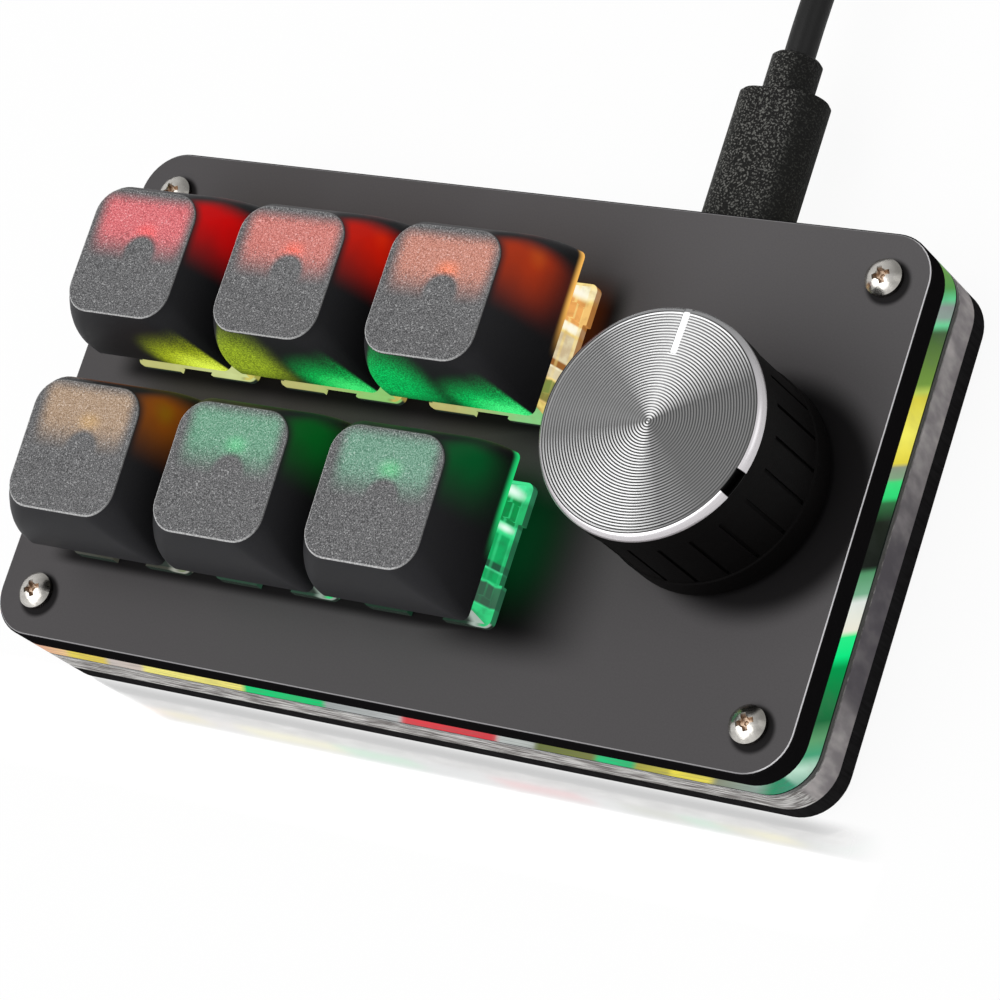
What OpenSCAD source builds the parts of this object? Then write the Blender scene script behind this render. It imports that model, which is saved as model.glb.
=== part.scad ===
// Macro keypad: six backlit push keys and one rotary knob on a case of stacked plates,
// with a USB lead plugged into its back edge. Millimetres, +Z up, +Y to the back.
// The rubber feet stand on z = 0 and the plates are centred on x = 0, y = 0.

/* [Case plates] */
// Width of every plate, left to right
plate_w = 98.5; // [97.5:0.5:106]
// Depth of every plate, front to back
plate_d = 57; // [56:0.5:64]
// Radius of the plates' corners
plate_corner_r = 5; // [4:0.25:6]
// Thickness of the black top plate
top_plate_t = 3.3; // [2.9:0.1:3.6]
// Thickness of the clear layer under the top plate
upper_spacer_t = 3.1; // [2.9:0.1:3.6]
// Thickness of the circuit board
board_t = 0.6; // [0.5:0.1:0.8]
// Thickness of the clear layer under the circuit board
lower_spacer_t = 4; // [3.5:0.25:5]
// Thickness of the black bottom plate
bottom_plate_t = 3; // [2:0.25:4]
// Width of the clear layers' walls
spacer_wall = 5; // [4:0.25:6]
// Bevel along the plates' outer edges
plate_bevel = 0.25; // [0.1:0.05:0.4]
// Radius of a rubber foot
foot_r = 4; // [3:0.25:5]
// Height of a rubber foot
foot_h = 1.2; // [1.1:0.1:2]
// Distance of a foot's centre from the plates' edges
foot_inset = 13; // [11:0.5:15]

/* [Screws and standoffs] */
// Distance of each screw from the plates' edges
screw_inset = 5; // [4.5:0.25:5.5]
// Radius of a screw's shank
screw_r = 1; // [0.8:0.05:1.1]
// Radius of a screw's head
screw_head_r = 2; // [1.8:0.05:2.2]
// Height of a top screw's head
top_head_h = 1.4; // [1:0.1:1.8]
// Height of a bottom screw's low head
bottom_head_h = 0.8; // [0.6:0.1:0.9]
// Length of a shank inside the standoff
screw_grip = 2.7; // [1.5:0.1:3.5]
// Radius of a standoff
standoff_r = 1.75; // [1.5:0.05:2]
// Clearance round a shank in its plate and round a standoff
fastener_gap = 0.1; // [0.05:0.01:0.2]
// Clearance of a screw's thread in the standoff
thread_gap = 0.03; // [0.01:0.01:0.05]

/* [Key layout] */
// Distance between key columns
key_pitch = 19.05; // [18.6:0.05:19.4]
// Distance between the two key rows
row_pitch = 22; // [19.5:0.25:23]
// Centre of the left key column
first_key_x = -32.9; // [-34:0.1:-32.5]

/* [Keycap] */
// Side of the keycap's square base
cap_base = 18.1; // [17.6:0.05:18.3]
// Width of the keycap's top face
cap_top_w = 13.3; // [12:0.1:14]
// Depth of the keycap's top face
cap_top_d = 13.8; // [12:0.1:14.5]
// Height of a front keycap at the rim of its top face
cap_h = 9.4; // [8.5:0.1:10.5]
// Corner radius of the keycap's base
cap_base_r = 0.8; // [0.5:0.1:2]
// Corner radius of the keycap's top face
cap_top_r = 3.2; // [2:0.1:4]
// Forward tilt of a front keycap's top face, in degrees
cap_tilt = 2; // [0:0.5:6]
// Shift of the top face towards the back
cap_top_shift = -0.5; // [-1:0.1:0.5]
// Extra height of the back row's keycaps
back_cap_rise = 1.6; // [0:0.1:2]
// How much narrower the top faces of the back row are
back_cap_taper = 0.7; // [0:0.1:1]
// Extra shift of the back row's top faces
back_cap_shift = -0.6; // [-1:0.1:0.5]
// Tilt of the back row's top faces, in degrees
back_cap_tilt = 0; // [-2:0.5:6]
// Power that curves the keycap's side walls
cap_bulge = 2.3; // [1:0.1:2.6]
// Depth of the dish in the top face
dish_depth = 0.5; // [0.1:0.1:0.8]
// Wall thickness of the keycap's skirt
cap_wall = 1.3; // [1:0.05:1.4]
// Roof thickness of the keycap under the rim
cap_roof = 1.7; // [1.4:0.1:2]
// Height of the skirt's lower edge above the switch lid
cap_lift = 0.35; // [0.2:0.05:1]
// Radius of the post that grips the switch stem
cap_post_r = 2.75; // [2.6:0.05:2.8]

/* [Key switch] */
// Side of the square switch body below the plate
switch_body = 13.9; // [13.5:0.05:14]
// Clearance round the switch body in the top plate
switch_gap = 0.05; // [0.03:0.01:0.15]
// Depth of the switch body below the top plate's face
switch_depth = 5; // [4.7:0.1:5.6]
// Wall and floor thickness of the switch body
switch_wall = 1.2; // [1:0.05:1.3]
// Side of the flange that rests on the top plate
flange_side = 15.6; // [15.2:0.05:15.8]
// Thickness of the flange
flange_t = 1; // [0.8:0.05:1.2]
// Length of the flange's corner tabs along its front and back
flange_tab = 5.6; // [5:0.1:6]
// How much shorter the corner tabs are along its sides
flange_tab_less = 1.1; // [0:0.1:1.5]
// Height of the lid's top above the top plate
lid_h = 6.6; // [6.3:0.1:6.9]
// Thickness of the lid's roof
lid_roof = 1.2; // [1:0.05:1.3]
// Thickness of the lid's walls
lid_wall = 1; // [0.8:0.05:1.1]
// Width of the stem's slider
slider_w = 7; // [6.8:0.05:7.2]
// Depth of the stem's slider
slider_d = 5.5; // [5.5:0.05:5.7]
// Clearance round the slider in the lid
slider_gap = 0.15; // [0.1:0.01:0.2]
// Span of the cross on top of the stem
cross_span = 4; // [3.8:0.05:4.1]
// Thickness of the cross's left-to-right bar
cross_bar_x = 1.17; // [1:0.01:1.3]
// Thickness of the cross's front-to-back bar
cross_bar_y = 1.31; // [1.1:0.01:1.4]
// Height of the cross above the lid
cross_h = 3.6; // [3.2:0.1:4]
// Clearance of the keycap's post round the cross
cross_gap = 0.04; // [0.02:0.01:0.08]
// Travel of a key
key_travel = 4; // [3.4:0.1:4.2]
// Radius of the switch's locating peg
peg_r = 2; // [1.8:0.05:2.1]
// Length of the peg and the contact pins below the body
peg_h = 3.3; // [3:0.1:3.6]
// Clearance of pegs and pins in the circuit board
board_hole_gap = 0.05; // [0.03:0.01:0.1]
// Radius of the stem's guide rod
guide_r = 1.05; // [0.9:0.05:1.1]
// Running clearance of the guide rod
guide_gap = 0.06; // [0.03:0.01:0.1]
// Radius of the spring's coils, at the wire's centre
spring_r = 2.05; // [2:0.01:2.1]
// Radius of the spring's wire
spring_wire_r = 0.15; // [0.12:0.01:0.18]
// Turns of the spring
spring_turns = 7; // [6:0.5:8]

/* [Encoder] */
// Place of the knob's axis, left to right
knob_x = 33.5; // [32.5:0.25:34.5]
// Width of the encoder's housing
encoder_w = 12; // [11.5:0.1:12.5]
// Depth of the encoder's housing
encoder_d = 11.7; // [11.5:0.1:12.5]
// Height of the encoder's plastic housing
encoder_h = 5.2; // [5:0.1:5.3]
// Thickness of the encoder's metal cover
encoder_cover_t = 1.3; // [1:0.1:1.4]
// Radius of the threaded bush
bush_r = 3.5; // [3.4:0.05:4]
// Height of the threaded bush
bush_h = 7; // [5:0.25:7.5]
// Radius of the encoder's shaft
shaft_r = 3; // [2.9:0.02:3.1]
// Running clearance of the shaft
shaft_gap = 0.05; // [0.02:0.01:0.08]
// Depth of the flat on the shaft
shaft_flat = 1.5; // [1:0.1:1.6]
// Clearance round the encoder in the top plate
encoder_gap = 1; // [0.5:0.1:1.25]

/* [Knob] */
// Radius of the knob
knob_r = 12; // [11.5:0.1:13]
// Height of the knob with its disc
knob_h = 16.25; // [15.5:0.25:18]
// Gap between the knob and the top plate
knob_gap = 0.75; // [0.7:0.05:1]
// Travel of the knob when it is pressed
knob_travel = 0.5; // [0.3:0.05:0.6]
// Wall thickness of the knob's skirt
knob_wall = 1.7; // [1.4:0.1:2]
// Radius of the knob's hub
hub_r = 4.6; // [4.4:0.1:5.5]
// Roof of the knob's skirt over the shaft
knob_roof = 0.85; // [0.8:0.05:1.5]
// Number of grip panels round the skirt
grip_panels = 22; // [16:1:30]
// Height of the smooth band below the grip panels
grip_low = 3.25; // [2:0.25:4]
// Height of the smooth band above the grip panels
grip_high = 2.5; // [2:0.25:4]
// Depth of the grip panels below the smooth bands
grip_depth = 0.15; // [0.05:0.05:0.3]
// Width of the grooves between grip panels
groove_w = 0.4; // [0.3:0.05:0.6]
// Depth of the grooves between grip panels
groove_depth = 0.3; // [0.2:0.05:0.4]
// Height of the aluminium disc's rim
disc_h = 1; // [0.8:0.05:1.2]
// Width of the disc's chamfer
disc_chamfer = 0.55; // [0.3:0.05:0.8]
// Distance between the spun grooves in the disc
spin_pitch = 0.45; // [0.4:0.05:0.8]
// Depth of the spun grooves
spin_depth = 0.06; // [0.03:0.01:0.1]

/* [USB lead] */
// Place of the USB socket, left to right
usb_x = 23; // [22:0.5:25]
// Width of the USB socket's shell
socket_w = 8.94; // [8.9:0.02:9.1]
// Height of the USB socket's shell
socket_h = 3.26; // [3.2:0.02:3.4]
// Length of the USB socket's shell
socket_l = 7.3; // [7:0.1:8]
// Sheet thickness of the USB socket's shell
socket_sheet = 0.25; // [0.2:0.01:0.27]
// Distance of the socket's mouth from the plates' back edge
socket_recess = 0.4; // [0.2:0.1:0.8]
// Width of the plug's shell
plug_w = 8.25; // [8.1:0.05:8.3]
// Height of the plug's shell
plug_h = 2.4; // [2.3:0.05:2.5]
// Width of the plug's grip
grip_w = 10.3; // [9.5:0.1:11.5]
// Height of the plug's grip
grip_h = 6.2; // [5.5:0.1:6.6]
// Length of the plug's grip
grip_l = 15.7; // [14:0.1:18]
// Radius of the plug's strain relief
relief_r = 2.76; // [2.4:0.02:3]
// Length of the plug's strain relief
relief_l = 4.5; // [3.5:0.25:6]
// Radius of the cable
cable_r = 1.7; // [1.5:0.05:1.75]

/* [Hidden] */
key_columns = 3;
key_rows = 2;
key_count = key_columns * key_rows;
function key_names(piece) = [for (i = [1 : key_count]) str(piece, "_", i)];

$fn = 64;
// Overshoot of a cutting shape past the face that it cuts
cut = 0.5;

// Heights of the stack
bottom_plate_z = foot_h;
lower_spacer_z = bottom_plate_z + bottom_plate_t;
board_z = lower_spacer_z + lower_spacer_t;
upper_spacer_z = board_z + board_t;
top_plate_z = upper_spacer_z + upper_spacer_t;
deck_z = top_plate_z + top_plate_t;

// Fasteners
screw_x = plate_w / 2 - screw_inset;
screw_y = plate_d / 2 - screw_inset;
screw_hole_r = screw_r + fastener_gap;
standoff_hole_r = standoff_r + fastener_gap;
boss_side = screw_inset + standoff_r + 2;
recess_w = 0.55;
recess_low = 0.6;
recess_high = 1.15;
recess_depth = 0.7;

// Parts on the circuit board's underside
chip_place = [13, 3];
chip_side = 7;
chip_t = 0.9;
passive_size = [1.6, 0.8, 0.5];
passive_pitch = 1.7;
passive_gap = 0.3;
key_passive_shift = 5;
crystal_size = [3.2, 2.5, 0.8];
crystal_gap = 2.25;

// Switch, measured from the deck
cutout_side = switch_body + 2 * switch_gap;
switch_floor_z = -switch_depth + switch_wall;
switch_cavity = switch_body - 2 * switch_wall;
lid_foot_w = flange_side - 1.2;
lid_foot_d = flange_side - 0.6;
lid_top_w = 10.5;
lid_top_d = 11;
skirt_z = 1.4;
skirt_w = slider_w + 1.4;
skirt_d = slider_d + 1.1;
lid_under_z = lid_h - lid_roof;
spring_seat_z = 4.4;
spring_room = 0.25;
spring_bore_r = spring_r + spring_wire_r + spring_room;
boss_r = spring_r - spring_wire_r - 0.3;
boss_top_z = spring_seat_z - key_travel - 1;
guide_low_z = boss_top_z - 0.6;
guide_bore_z = guide_low_z - key_travel - 0.4;
led_y = 4.7;
led_size = [3.2, 1.6, 0.9];
led_gap = 0.2;
led_column_shift = 2.9;
led_side_y = 7;
led_window_w = 4.6;
led_window_d = 2;
pin_r = 0.5;
pin_places = [[3.81, -2.54], [-2.54, -5.08]];
leaf_y = -4.7;
leaf_t = 0.3;
leaf_w = 2.4;
leaf_x = -0.6;

// Half sizes of the clear layers' opening: switches, encoder and edge lights stand inside it
open_x = max(
    plate_w / 2 - spacer_wall,
    max(switch_body / 2 - first_key_x, knob_x + encoder_w / 2) + led_size[1] + 2 * led_gap
);
open_y = max(
    plate_d / 2 - spacer_wall,
    (row_pitch + switch_body) / 2 + led_size[1] + 2 * led_gap
);

// Keycap, measured from the deck
cap_z = lid_h + cap_lift;
cap_corner_steps = 4;
cap_edge_steps = 3;
cap_side_rings = [0, 0.15, 0.33, 0.52, 0.7, 0.86, 0.96];
cap_dish_rings = [0.97, 0.8, 0.55, 0.28];
cap_edge_r = 0.3;

// Encoder, measured from the circuit board
encoder_z = upper_spacer_z;
cover_z = encoder_h;
bush_z = encoder_h + encoder_cover_t;
bush_top_z = encoder_z + bush_z + bush_h;
rotor_r = 4.7;
rotor_z = 3.1;
rotor_t = 1.25;
rotor_cavity_r = 5;
rotor_cavity_z = 3;
dome_cavity_r = 2.6;
dome_z = 0.8;
dome_h = 0.6;
journal_r = 2;
journal_gap = 0.05;
journal_flat = 0.7;
shaft_low_z = dome_z + dome_h + knob_travel + 0.1;
shoulder_z = rotor_z + rotor_t + knob_travel + 0.1;
terminal_pitch = 2.5;
terminal_w = 0.8;
terminal_t = 0.4;
terminal_drop = 2;

// Knob
knob_z = deck_z + knob_gap;
disc_z = knob_z + knob_h - disc_h;
hub_z = bush_top_z + knob_travel + 0.3;
shaft_top_z = disc_z - knob_roof - 0.05;
flat_z = hub_z - 0.2;
spigot_in_r = 6;
spigot_out_r = 9;
spigot_h = 0.5;
spigot_gap = 0.1;
hub_ribs = 4;
hub_rib_t = 1.2;
pointer_in_r = 7.2;
pointer_w = 0.7;
pointer_depth = 0.12;
pointer_angle = 87.5;
notch_angle = -23.4;
notch_l = 2.6;
groove_angle = -25.8;

// USB lead
usb_z = board_z + board_t / 2;
mouth_y = plate_d / 2 - socket_recess;
plug_insert = 6.1;
grip_y = plate_d / 2 + 0.3;
relief_y = grip_y + grip_l;
cable_y = relief_y + relief_l;
notch_gap = 0.3;
tongue = [6.7, 4.6, 0.7];
wing = [1, 1.6, 0.25];
host_grip = [16, 22, 8];
host_shell = [12, 12, 4.5];
host_sheet = 0.35;
host_relief_l = 6;

// The lead's route: its straight part, the middle of its coil, and its far end
lead_points = [
    [23, 49, 8.5], [23, 54, 8.5], [23, 59, 8.2], [23, 64, 7.2], [23, 69, 5.8],
    [23, 74, 4.4], [23, 79, 3.2], [23, 84, 2.4], [23, 89, 2.1], [23, 94, 2.1]
];
coil_centre = [-2.5, 94];
coil_in_r = 15.3;
coil_across = 4;
coil_layers = 2;
coil_z = 0.4;
tail_points = [
    [-2.5, 119.5, 5.5], [-7, 119.5, 5.2], [-11.5, 119.5, 4.3], [-15, 119.5, 4], [-18, 119.5, 4]
];
coil_out_r = coil_in_r + (coil_across - 1) * 2 * cable_r;
tie_t = 0.35;
tie_w = 4;
tie_angle = 205;

// Rounded rectangle as exact lines and arcs
module rounded_rect(w, d, r) {
    square([w - 2 * r, d], center = true);
    square([w, d - 2 * r], center = true);
    for (x = [-1, 1], y = [-1, 1])
        translate([x * (w / 2 - r), y * (d / 2 - r)])
            circle(r);
}

// One bevelled course of a plate: w by d at its low face, drawn in by inset at its high face
module bevel_course(w, d, r, inset, h) {
    for (turn = [0, 90]) {
        along = turn == 0 ? d - 2 * r : w - 2 * r;
        across = turn == 0 ? w / 2 : d / 2;
        rotate([0, 0, turn])
            rotate([90, 0, 0])
                linear_extrude(along, center = true)
                    polygon([[-across, 0], [across, 0], [across - inset, h], [inset - across, h]]);
    }
    for (x = [-1, 1], y = [-1, 1])
        translate([x * (w / 2 - r), y * (d / 2 - r), 0])
            cylinder(h = h, r1 = r, r2 = r - inset);
}

// Plate blank of thickness t with a bevel on its upper edge, its lower edge, or both
module plate_blank(t, bevel_up, bevel_down) {
    low = bevel_down ? plate_bevel : 0;
    high = bevel_up ? plate_bevel : 0;
    translate([0, 0, low])
        linear_extrude(t - low - high)
            rounded_rect(plate_w, plate_d, plate_corner_r);
    if (bevel_up)
        translate([0, 0, t - high])
            bevel_course(plate_w, plate_d, plate_corner_r, plate_bevel, plate_bevel);
    if (bevel_down)
        translate([0, 0, low])
            mirror([0, 0, 1])
                bevel_course(plate_w, plate_d, plate_corner_r, plate_bevel, plate_bevel);
}

module at_screws() {
    for (x = [-1, 1], y = [-1, 1])
        translate([x * screw_x, y * screw_y, 0])
            children();
}

function key_place(i) = [
    first_key_x + ((i - 1) % key_columns) * key_pitch,
    (i <= key_columns ? 1 : -1) * row_pitch / 2,
    deck_z
];

module at_keys() {
    for (i = [1 : key_count])
        translate(key_place(i))
            children();
}

module centred_box(size, z) {
    translate([-size[0] / 2, -size[1] / 2, z])
        cube(size);
}

// Flat-sided bar with round ends along its width
module stadium(w, h) {
    square([w - h, h], center = true);
    for (x = [-1, 1])
        translate([x * (w - h) / 2, 0])
            circle(h / 2);
}

// Stadium bar that runs from y towards the back
module stadium_bar(w, h, y, l) {
    translate([0, y + l, 0])
        rotate([90, 0, 0])
            linear_extrude(l)
                stadium(w, h);
}

// ---- Case ----

module top_plate() {
    color([0.14, 0.13, 0.14])
        translate([0, 0, top_plate_z])
            difference() {
                plate_blank(top_plate_t, true, false);
                at_screws()
                    translate([0, 0, -cut])
                        cylinder(h = top_plate_t + 2 * cut, r = screw_hole_r);
                for (i = [1 : key_count])
                    translate([key_place(i)[0], key_place(i)[1], 0])
                        centred_box([cutout_side, cutout_side, top_plate_t + 2 * cut], -cut);
                translate([knob_x, 0, 0])
                    centred_box([encoder_w + 2 * encoder_gap, encoder_d + 2 * encoder_gap,
                                 top_plate_t + 2 * cut], -cut);
            }
}

// Frame-shaped clear layer, open in the middle and notched for the USB plug
module spacer(t, bevel_up, bevel_down) {
    notch_w = socket_w + 2 * wing[0] + 2 * notch_gap;
    difference() {
        plate_blank(t, bevel_up, bevel_down);
        centred_box([2 * open_x, plate_d - 2 * boss_side, t + 2 * cut], -cut);
        centred_box([plate_w - 2 * boss_side, 2 * open_y, t + 2 * cut], -cut);
        at_screws()
            translate([0, 0, -cut])
                cylinder(h = t + 2 * cut, r = standoff_hole_r);
        translate([usb_x - notch_w / 2, open_y - cut, -cut])
            cube([notch_w, plate_d / 2 - open_y + 2 * cut, t + 2 * cut]);
    }
}

module upper_spacer() {
    color([0.8, 0.93, 0.8, 0.6])
        translate([0, 0, upper_spacer_z])
            spacer(upper_spacer_t, false, true);
}

module lower_spacer() {
    color([0.75, 0.77, 0.8, 0.6])
        translate([0, 0, lower_spacer_z])
            spacer(lower_spacer_t, true, false);
}

module bottom_plate() {
    color([0.1, 0.1, 0.1])
        translate([0, 0, bottom_plate_z])
            difference() {
                plate_blank(bottom_plate_t, false, true);
                at_screws()
                    translate([0, 0, -cut])
                        cylinder(h = bottom_plate_t + 2 * cut, r = screw_hole_r);
            }
}

module circuit_board() {
    color([0.04, 0.05, 0.05])
        translate([0, 0, board_z])
            difference() {
                linear_extrude(board_t)
                    rounded_rect(plate_w, plate_d, plate_corner_r);
                at_screws()
                    translate([0, 0, -cut])
                        cylinder(h = board_t + 2 * cut, r = standoff_hole_r);
                for (i = [1 : key_count])
                    translate([key_place(i)[0], key_place(i)[1], -cut]) {
                        cylinder(h = board_t + 2 * cut, r = peg_r + board_hole_gap);
                        for (place = pin_places)
                            translate(place)
                                cylinder(h = board_t + 2 * cut, r = pin_r + board_hole_gap);
                    }
                at_terminals()
                    centred_box([terminal_w + 2 * board_hole_gap,
                                 terminal_t + 2 * board_hole_gap, board_t + 2 * cut], -cut);
                translate([usb_x, mouth_y - socket_l - board_hole_gap, -cut])
                    translate([-socket_w / 2 - board_hole_gap, 0, 0])
                        cube([socket_w + 2 * board_hole_gap, socket_l + 2, board_t + 2 * cut]);
            }
}

// Pan-head screw with a cross recess, its head's seat at z = 0 and its shank pointing down
module screw(head_h, shank_l, turn) {
    rim_h = head_h * 0.4;
    rise = head_h - rim_h;
    dome_r = (screw_head_r * screw_head_r + rise * rise) / (2 * rise);
    difference() {
        union() {
            rotate_extrude()
                intersection() {
                    square([screw_head_r, head_h]);
                    translate([0, head_h - dome_r])
                        circle(dome_r);
                }
            translate([0, 0, -shank_l])
                cylinder(h = shank_l + rim_h / 2, r = screw_r);
        }
        for (arm = [0, 90])
            rotate([0, 0, turn + arm])
                translate([0, 0, head_h - recess_depth])
                    rotate([90, 0, 0])
                        linear_extrude(recess_w, center = true)
                            polygon([[-recess_low, 0], [recess_low, 0],
                                     [recess_high, recess_depth + 0.1],
                                     [-recess_high, recess_depth + 0.1]]);
        translate([0, 0, head_h - recess_depth - 0.15])
            cylinder(h = recess_depth + 0.3, r1 = 0.15, r2 = 0.75);
    }
}

module top_screws() {
    color([0.72, 0.71, 0.68])
        at_screws()
            translate([0, 0, deck_z])
                screw(top_head_h, top_plate_t + screw_grip, 25);
}

module bottom_screws() {
    color([0.72, 0.71, 0.68])
        at_screws()
            translate([0, 0, bottom_plate_z])
                mirror([0, 0, 1])
                    screw(bottom_head_h, bottom_plate_t + min(screw_grip, lower_spacer_t), 10);
}

module standoffs() {
    standoff_l = top_plate_z - lower_spacer_z;
    color([0.8, 0.65, 0.3])
        at_screws()
            translate([0, 0, lower_spacer_z])
                difference() {
                    cylinder(h = standoff_l, r = standoff_r);
                    translate([0, 0, -cut])
                        cylinder(h = standoff_l + 2 * cut, r = screw_r + thread_gap);
                }
}

module rubber_feet() {
    color([0.08, 0.08, 0.08])
        for (x = [-1, 1], y = [-1, 1])
            translate([x * (plate_w / 2 - foot_inset), y * (plate_d / 2 - foot_inset), 0])
                cylinder(h = foot_h, r1 = foot_r, r2 = foot_r - 0.3);
}

// ---- Circuit board parts ----

// Socket's shell with its contact tongue, let into the board's back edge
module usb_socket() {
    inner_w = socket_w - 2 * socket_sheet;
    inner_h = socket_h - 2 * socket_sheet;
    color([0.75, 0.75, 0.77])
        translate([usb_x, 0, usb_z]) {
            difference() {
                stadium_bar(socket_w, socket_h, mouth_y - socket_l, socket_l);
                stadium_bar(inner_w, inner_h, mouth_y - socket_l + socket_sheet, socket_l);
            }
            translate([-tongue[0] / 2, mouth_y - socket_l + socket_sheet / 2, -tongue[2] / 2])
                cube([tongue[0], tongue[1] + socket_sheet / 2, tongue[2]]);
            for (x = [-1, 1], y = [1.2, socket_l - 2.4])
                translate([x * (socket_w / 2 + wing[0] / 2 - 0.2), mouth_y - y - wing[1] / 2,
                           board_t / 2 + wing[2] / 2])
                    cube([wing[0] + 0.4, wing[1], wing[2]], center = true);
        }
}

module controller_chip() {
    color([0.1, 0.1, 0.1])
        translate([chip_place[0], chip_place[1], board_z])
            mirror([0, 0, 1])
                difference() {
                    centred_box([chip_side, chip_side, chip_t], 0);
                    translate([0.8 - chip_side / 2, chip_side / 2 - 0.8, chip_t - 0.1])
                        cylinder(h = cut, r = 0.35);
                }
}

// Small parts on the board's underside: resistors, capacitors and a crystal
module board_components() {
    column_x = (chip_side + passive_size[0]) / 2 + passive_gap;
    crystal_y = (chip_side + crystal_size[1]) / 2 + crystal_gap;
    color([0.72, 0.66, 0.5])
        mirror([0, 0, 1]) {
            translate([chip_place[0], chip_place[1], -board_z]) {
                for (i = [-1.5 : 1.5], x = [-1, 1])
                    translate([x * column_x, i * passive_pitch, 0])
                        centred_box(passive_size, 0);
                translate([0, -crystal_y, 0])
                    centred_box(crystal_size, 0);
            }
            for (i = [1 : key_count])
                translate([key_place(i)[0] + key_passive_shift,
                           key_place(i)[1] + key_passive_shift, -board_z])
                    centred_box(passive_size, 0);
        }
}

module key_leds() {
    color([0.95, 0.95, 0.9])
        for (i = [1 : key_count])
            translate([key_place(i)[0], key_place(i)[1] + led_y, upper_spacer_z])
                centred_box(led_size, 0);
}

// Lights round the board's edge that shine out through the clear layer above it
module edge_leds() {
    side_x = open_x - led_size[1] / 2 - led_gap;
    end_y = open_y - led_size[1] / 2 - led_gap;
    key_led_x = first_key_x + led_column_shift;
    columns = [for (c = [0 : key_columns - 1]) key_led_x + c * key_pitch, knob_x];
    color([0.95, 0.95, 0.9]) {
        for (x = columns, y = [-1, 1])
            translate([x, y * end_y, upper_spacer_z])
                centred_box(led_size, 0);
        for (x = [-1, 1], y = [-1, 1])
            translate([x * side_x, y * led_side_y, upper_spacer_z])
                rotate([0, 0, 90])
                    centred_box(led_size, 0);
    }
}

// ---- Key ----

// The back row is the taller one: height, slope, top width and shift of cap i
function in_back(i) = i <= key_columns;
function cap_height(i) = cap_h + (in_back(i) ? back_cap_rise : 0);
function cap_slope(i) = tan(in_back(i) ? back_cap_tilt : cap_tilt);
function cap_width(i) = cap_top_w - (in_back(i) ? back_cap_taper : 0);
function cap_move(i) = cap_top_shift + (in_back(i) ? back_cap_shift : 0);

// Half width of a cap and its corner radius at the share t of the way up
function cap_half(t, top) = cap_base / 2 - (cap_base - top) / 2 * pow(t, cap_bulge);
function cap_radius(t) = cap_base_r + (cap_top_r - cap_base_r) * t;

// Points round a rounded rectangle: an arc at each corner and steps along each edge
function ring_2d(hw, hd, r) = [
    for (c = [0 : 3])
        let (
            sx = (c == 0 || c == 3) ? 1 : -1,
            sy = c < 2 ? 1 : -1,
            next_sx = (c == 0 || c == 1) ? -1 : 1,
            next_sy = (c == 0 || c == 3) ? 1 : -1,
            last = [sx * (hw - r), sy * (hd - r)] + r * [cos(90 * c + 90), sin(90 * c + 90)],
            first = [next_sx * (hw - r), next_sy * (hd - r)]
                + r * [cos(90 * c + 90), sin(90 * c + 90)]
        )
        each concat(
            [for (s = [0 : cap_corner_steps])
                let (a = 90 * c + 90 * s / cap_corner_steps)
                [sx * (hw - r), sy * (hd - r)] + r * [cos(a), sin(a)]],
            [for (s = [1 : cap_edge_steps - 1])
                last + (first - last) * s / cap_edge_steps]
        )
];

// A ring of the outer side wall, whose height follows the tilted top
function side_ring(t, i) = [
    for (p = ring_2d(cap_half(t, cap_width(i)), cap_half(t, cap_top_d), cap_radius(t)))
        [p[0], p[1] + cap_move(i) * t, t * (cap_height(i) + cap_slope(i) * p[1])]
];

// A ring of the dished top, drawn in to the share s of the top's rim
function dish_ring(s, i) = [
    for (p = ring_2d(cap_width(i) / 2 - cap_edge_r, cap_top_d / 2 - cap_edge_r,
                     cap_top_r - cap_edge_r))
        [p[0] * s, p[1] * s + cap_move(i),
         cap_height(i) + cap_slope(i) * p[1] * s - dish_depth * (1 - s * s)]
];

// A ring of the hollow inside at the height z, where the share t gives its size
function hollow_ring(t, z, slope, i) = [
    for (p = ring_2d(cap_half(t, cap_width(i)) - cap_wall, cap_half(t, cap_top_d) - cap_wall,
                     max(0.4, cap_radius(t) - cap_wall / 2)))
        [p[0], p[1] + cap_move(i) * t, z + slope * p[1]]
];

// Closed skin through a row of rings, with a point at each end
module skin(rings, first_point, last_point) {
    n = len(rings[0]);
    rows = len(rings);
    points = concat([first_point], [for (ring = rings) each ring], [last_point]);
    function at(row, i) = 1 + row * n + i % n;
    faces = concat(
        [for (i = [0 : n - 1]) [0, at(0, i), at(0, i + 1)]],
        [for (row = [0 : rows - 2], i = [0 : n - 1])
            each [[at(row, i), at(row + 1, i), at(row + 1, i + 1)],
                  [at(row, i), at(row + 1, i + 1), at(row, i + 1)]]],
        [for (i = [0 : n - 1]) [len(points) - 1, at(rows - 1, i + 1), at(rows - 1, i)]]
    );
    polyhedron(points, faces);
}

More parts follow.
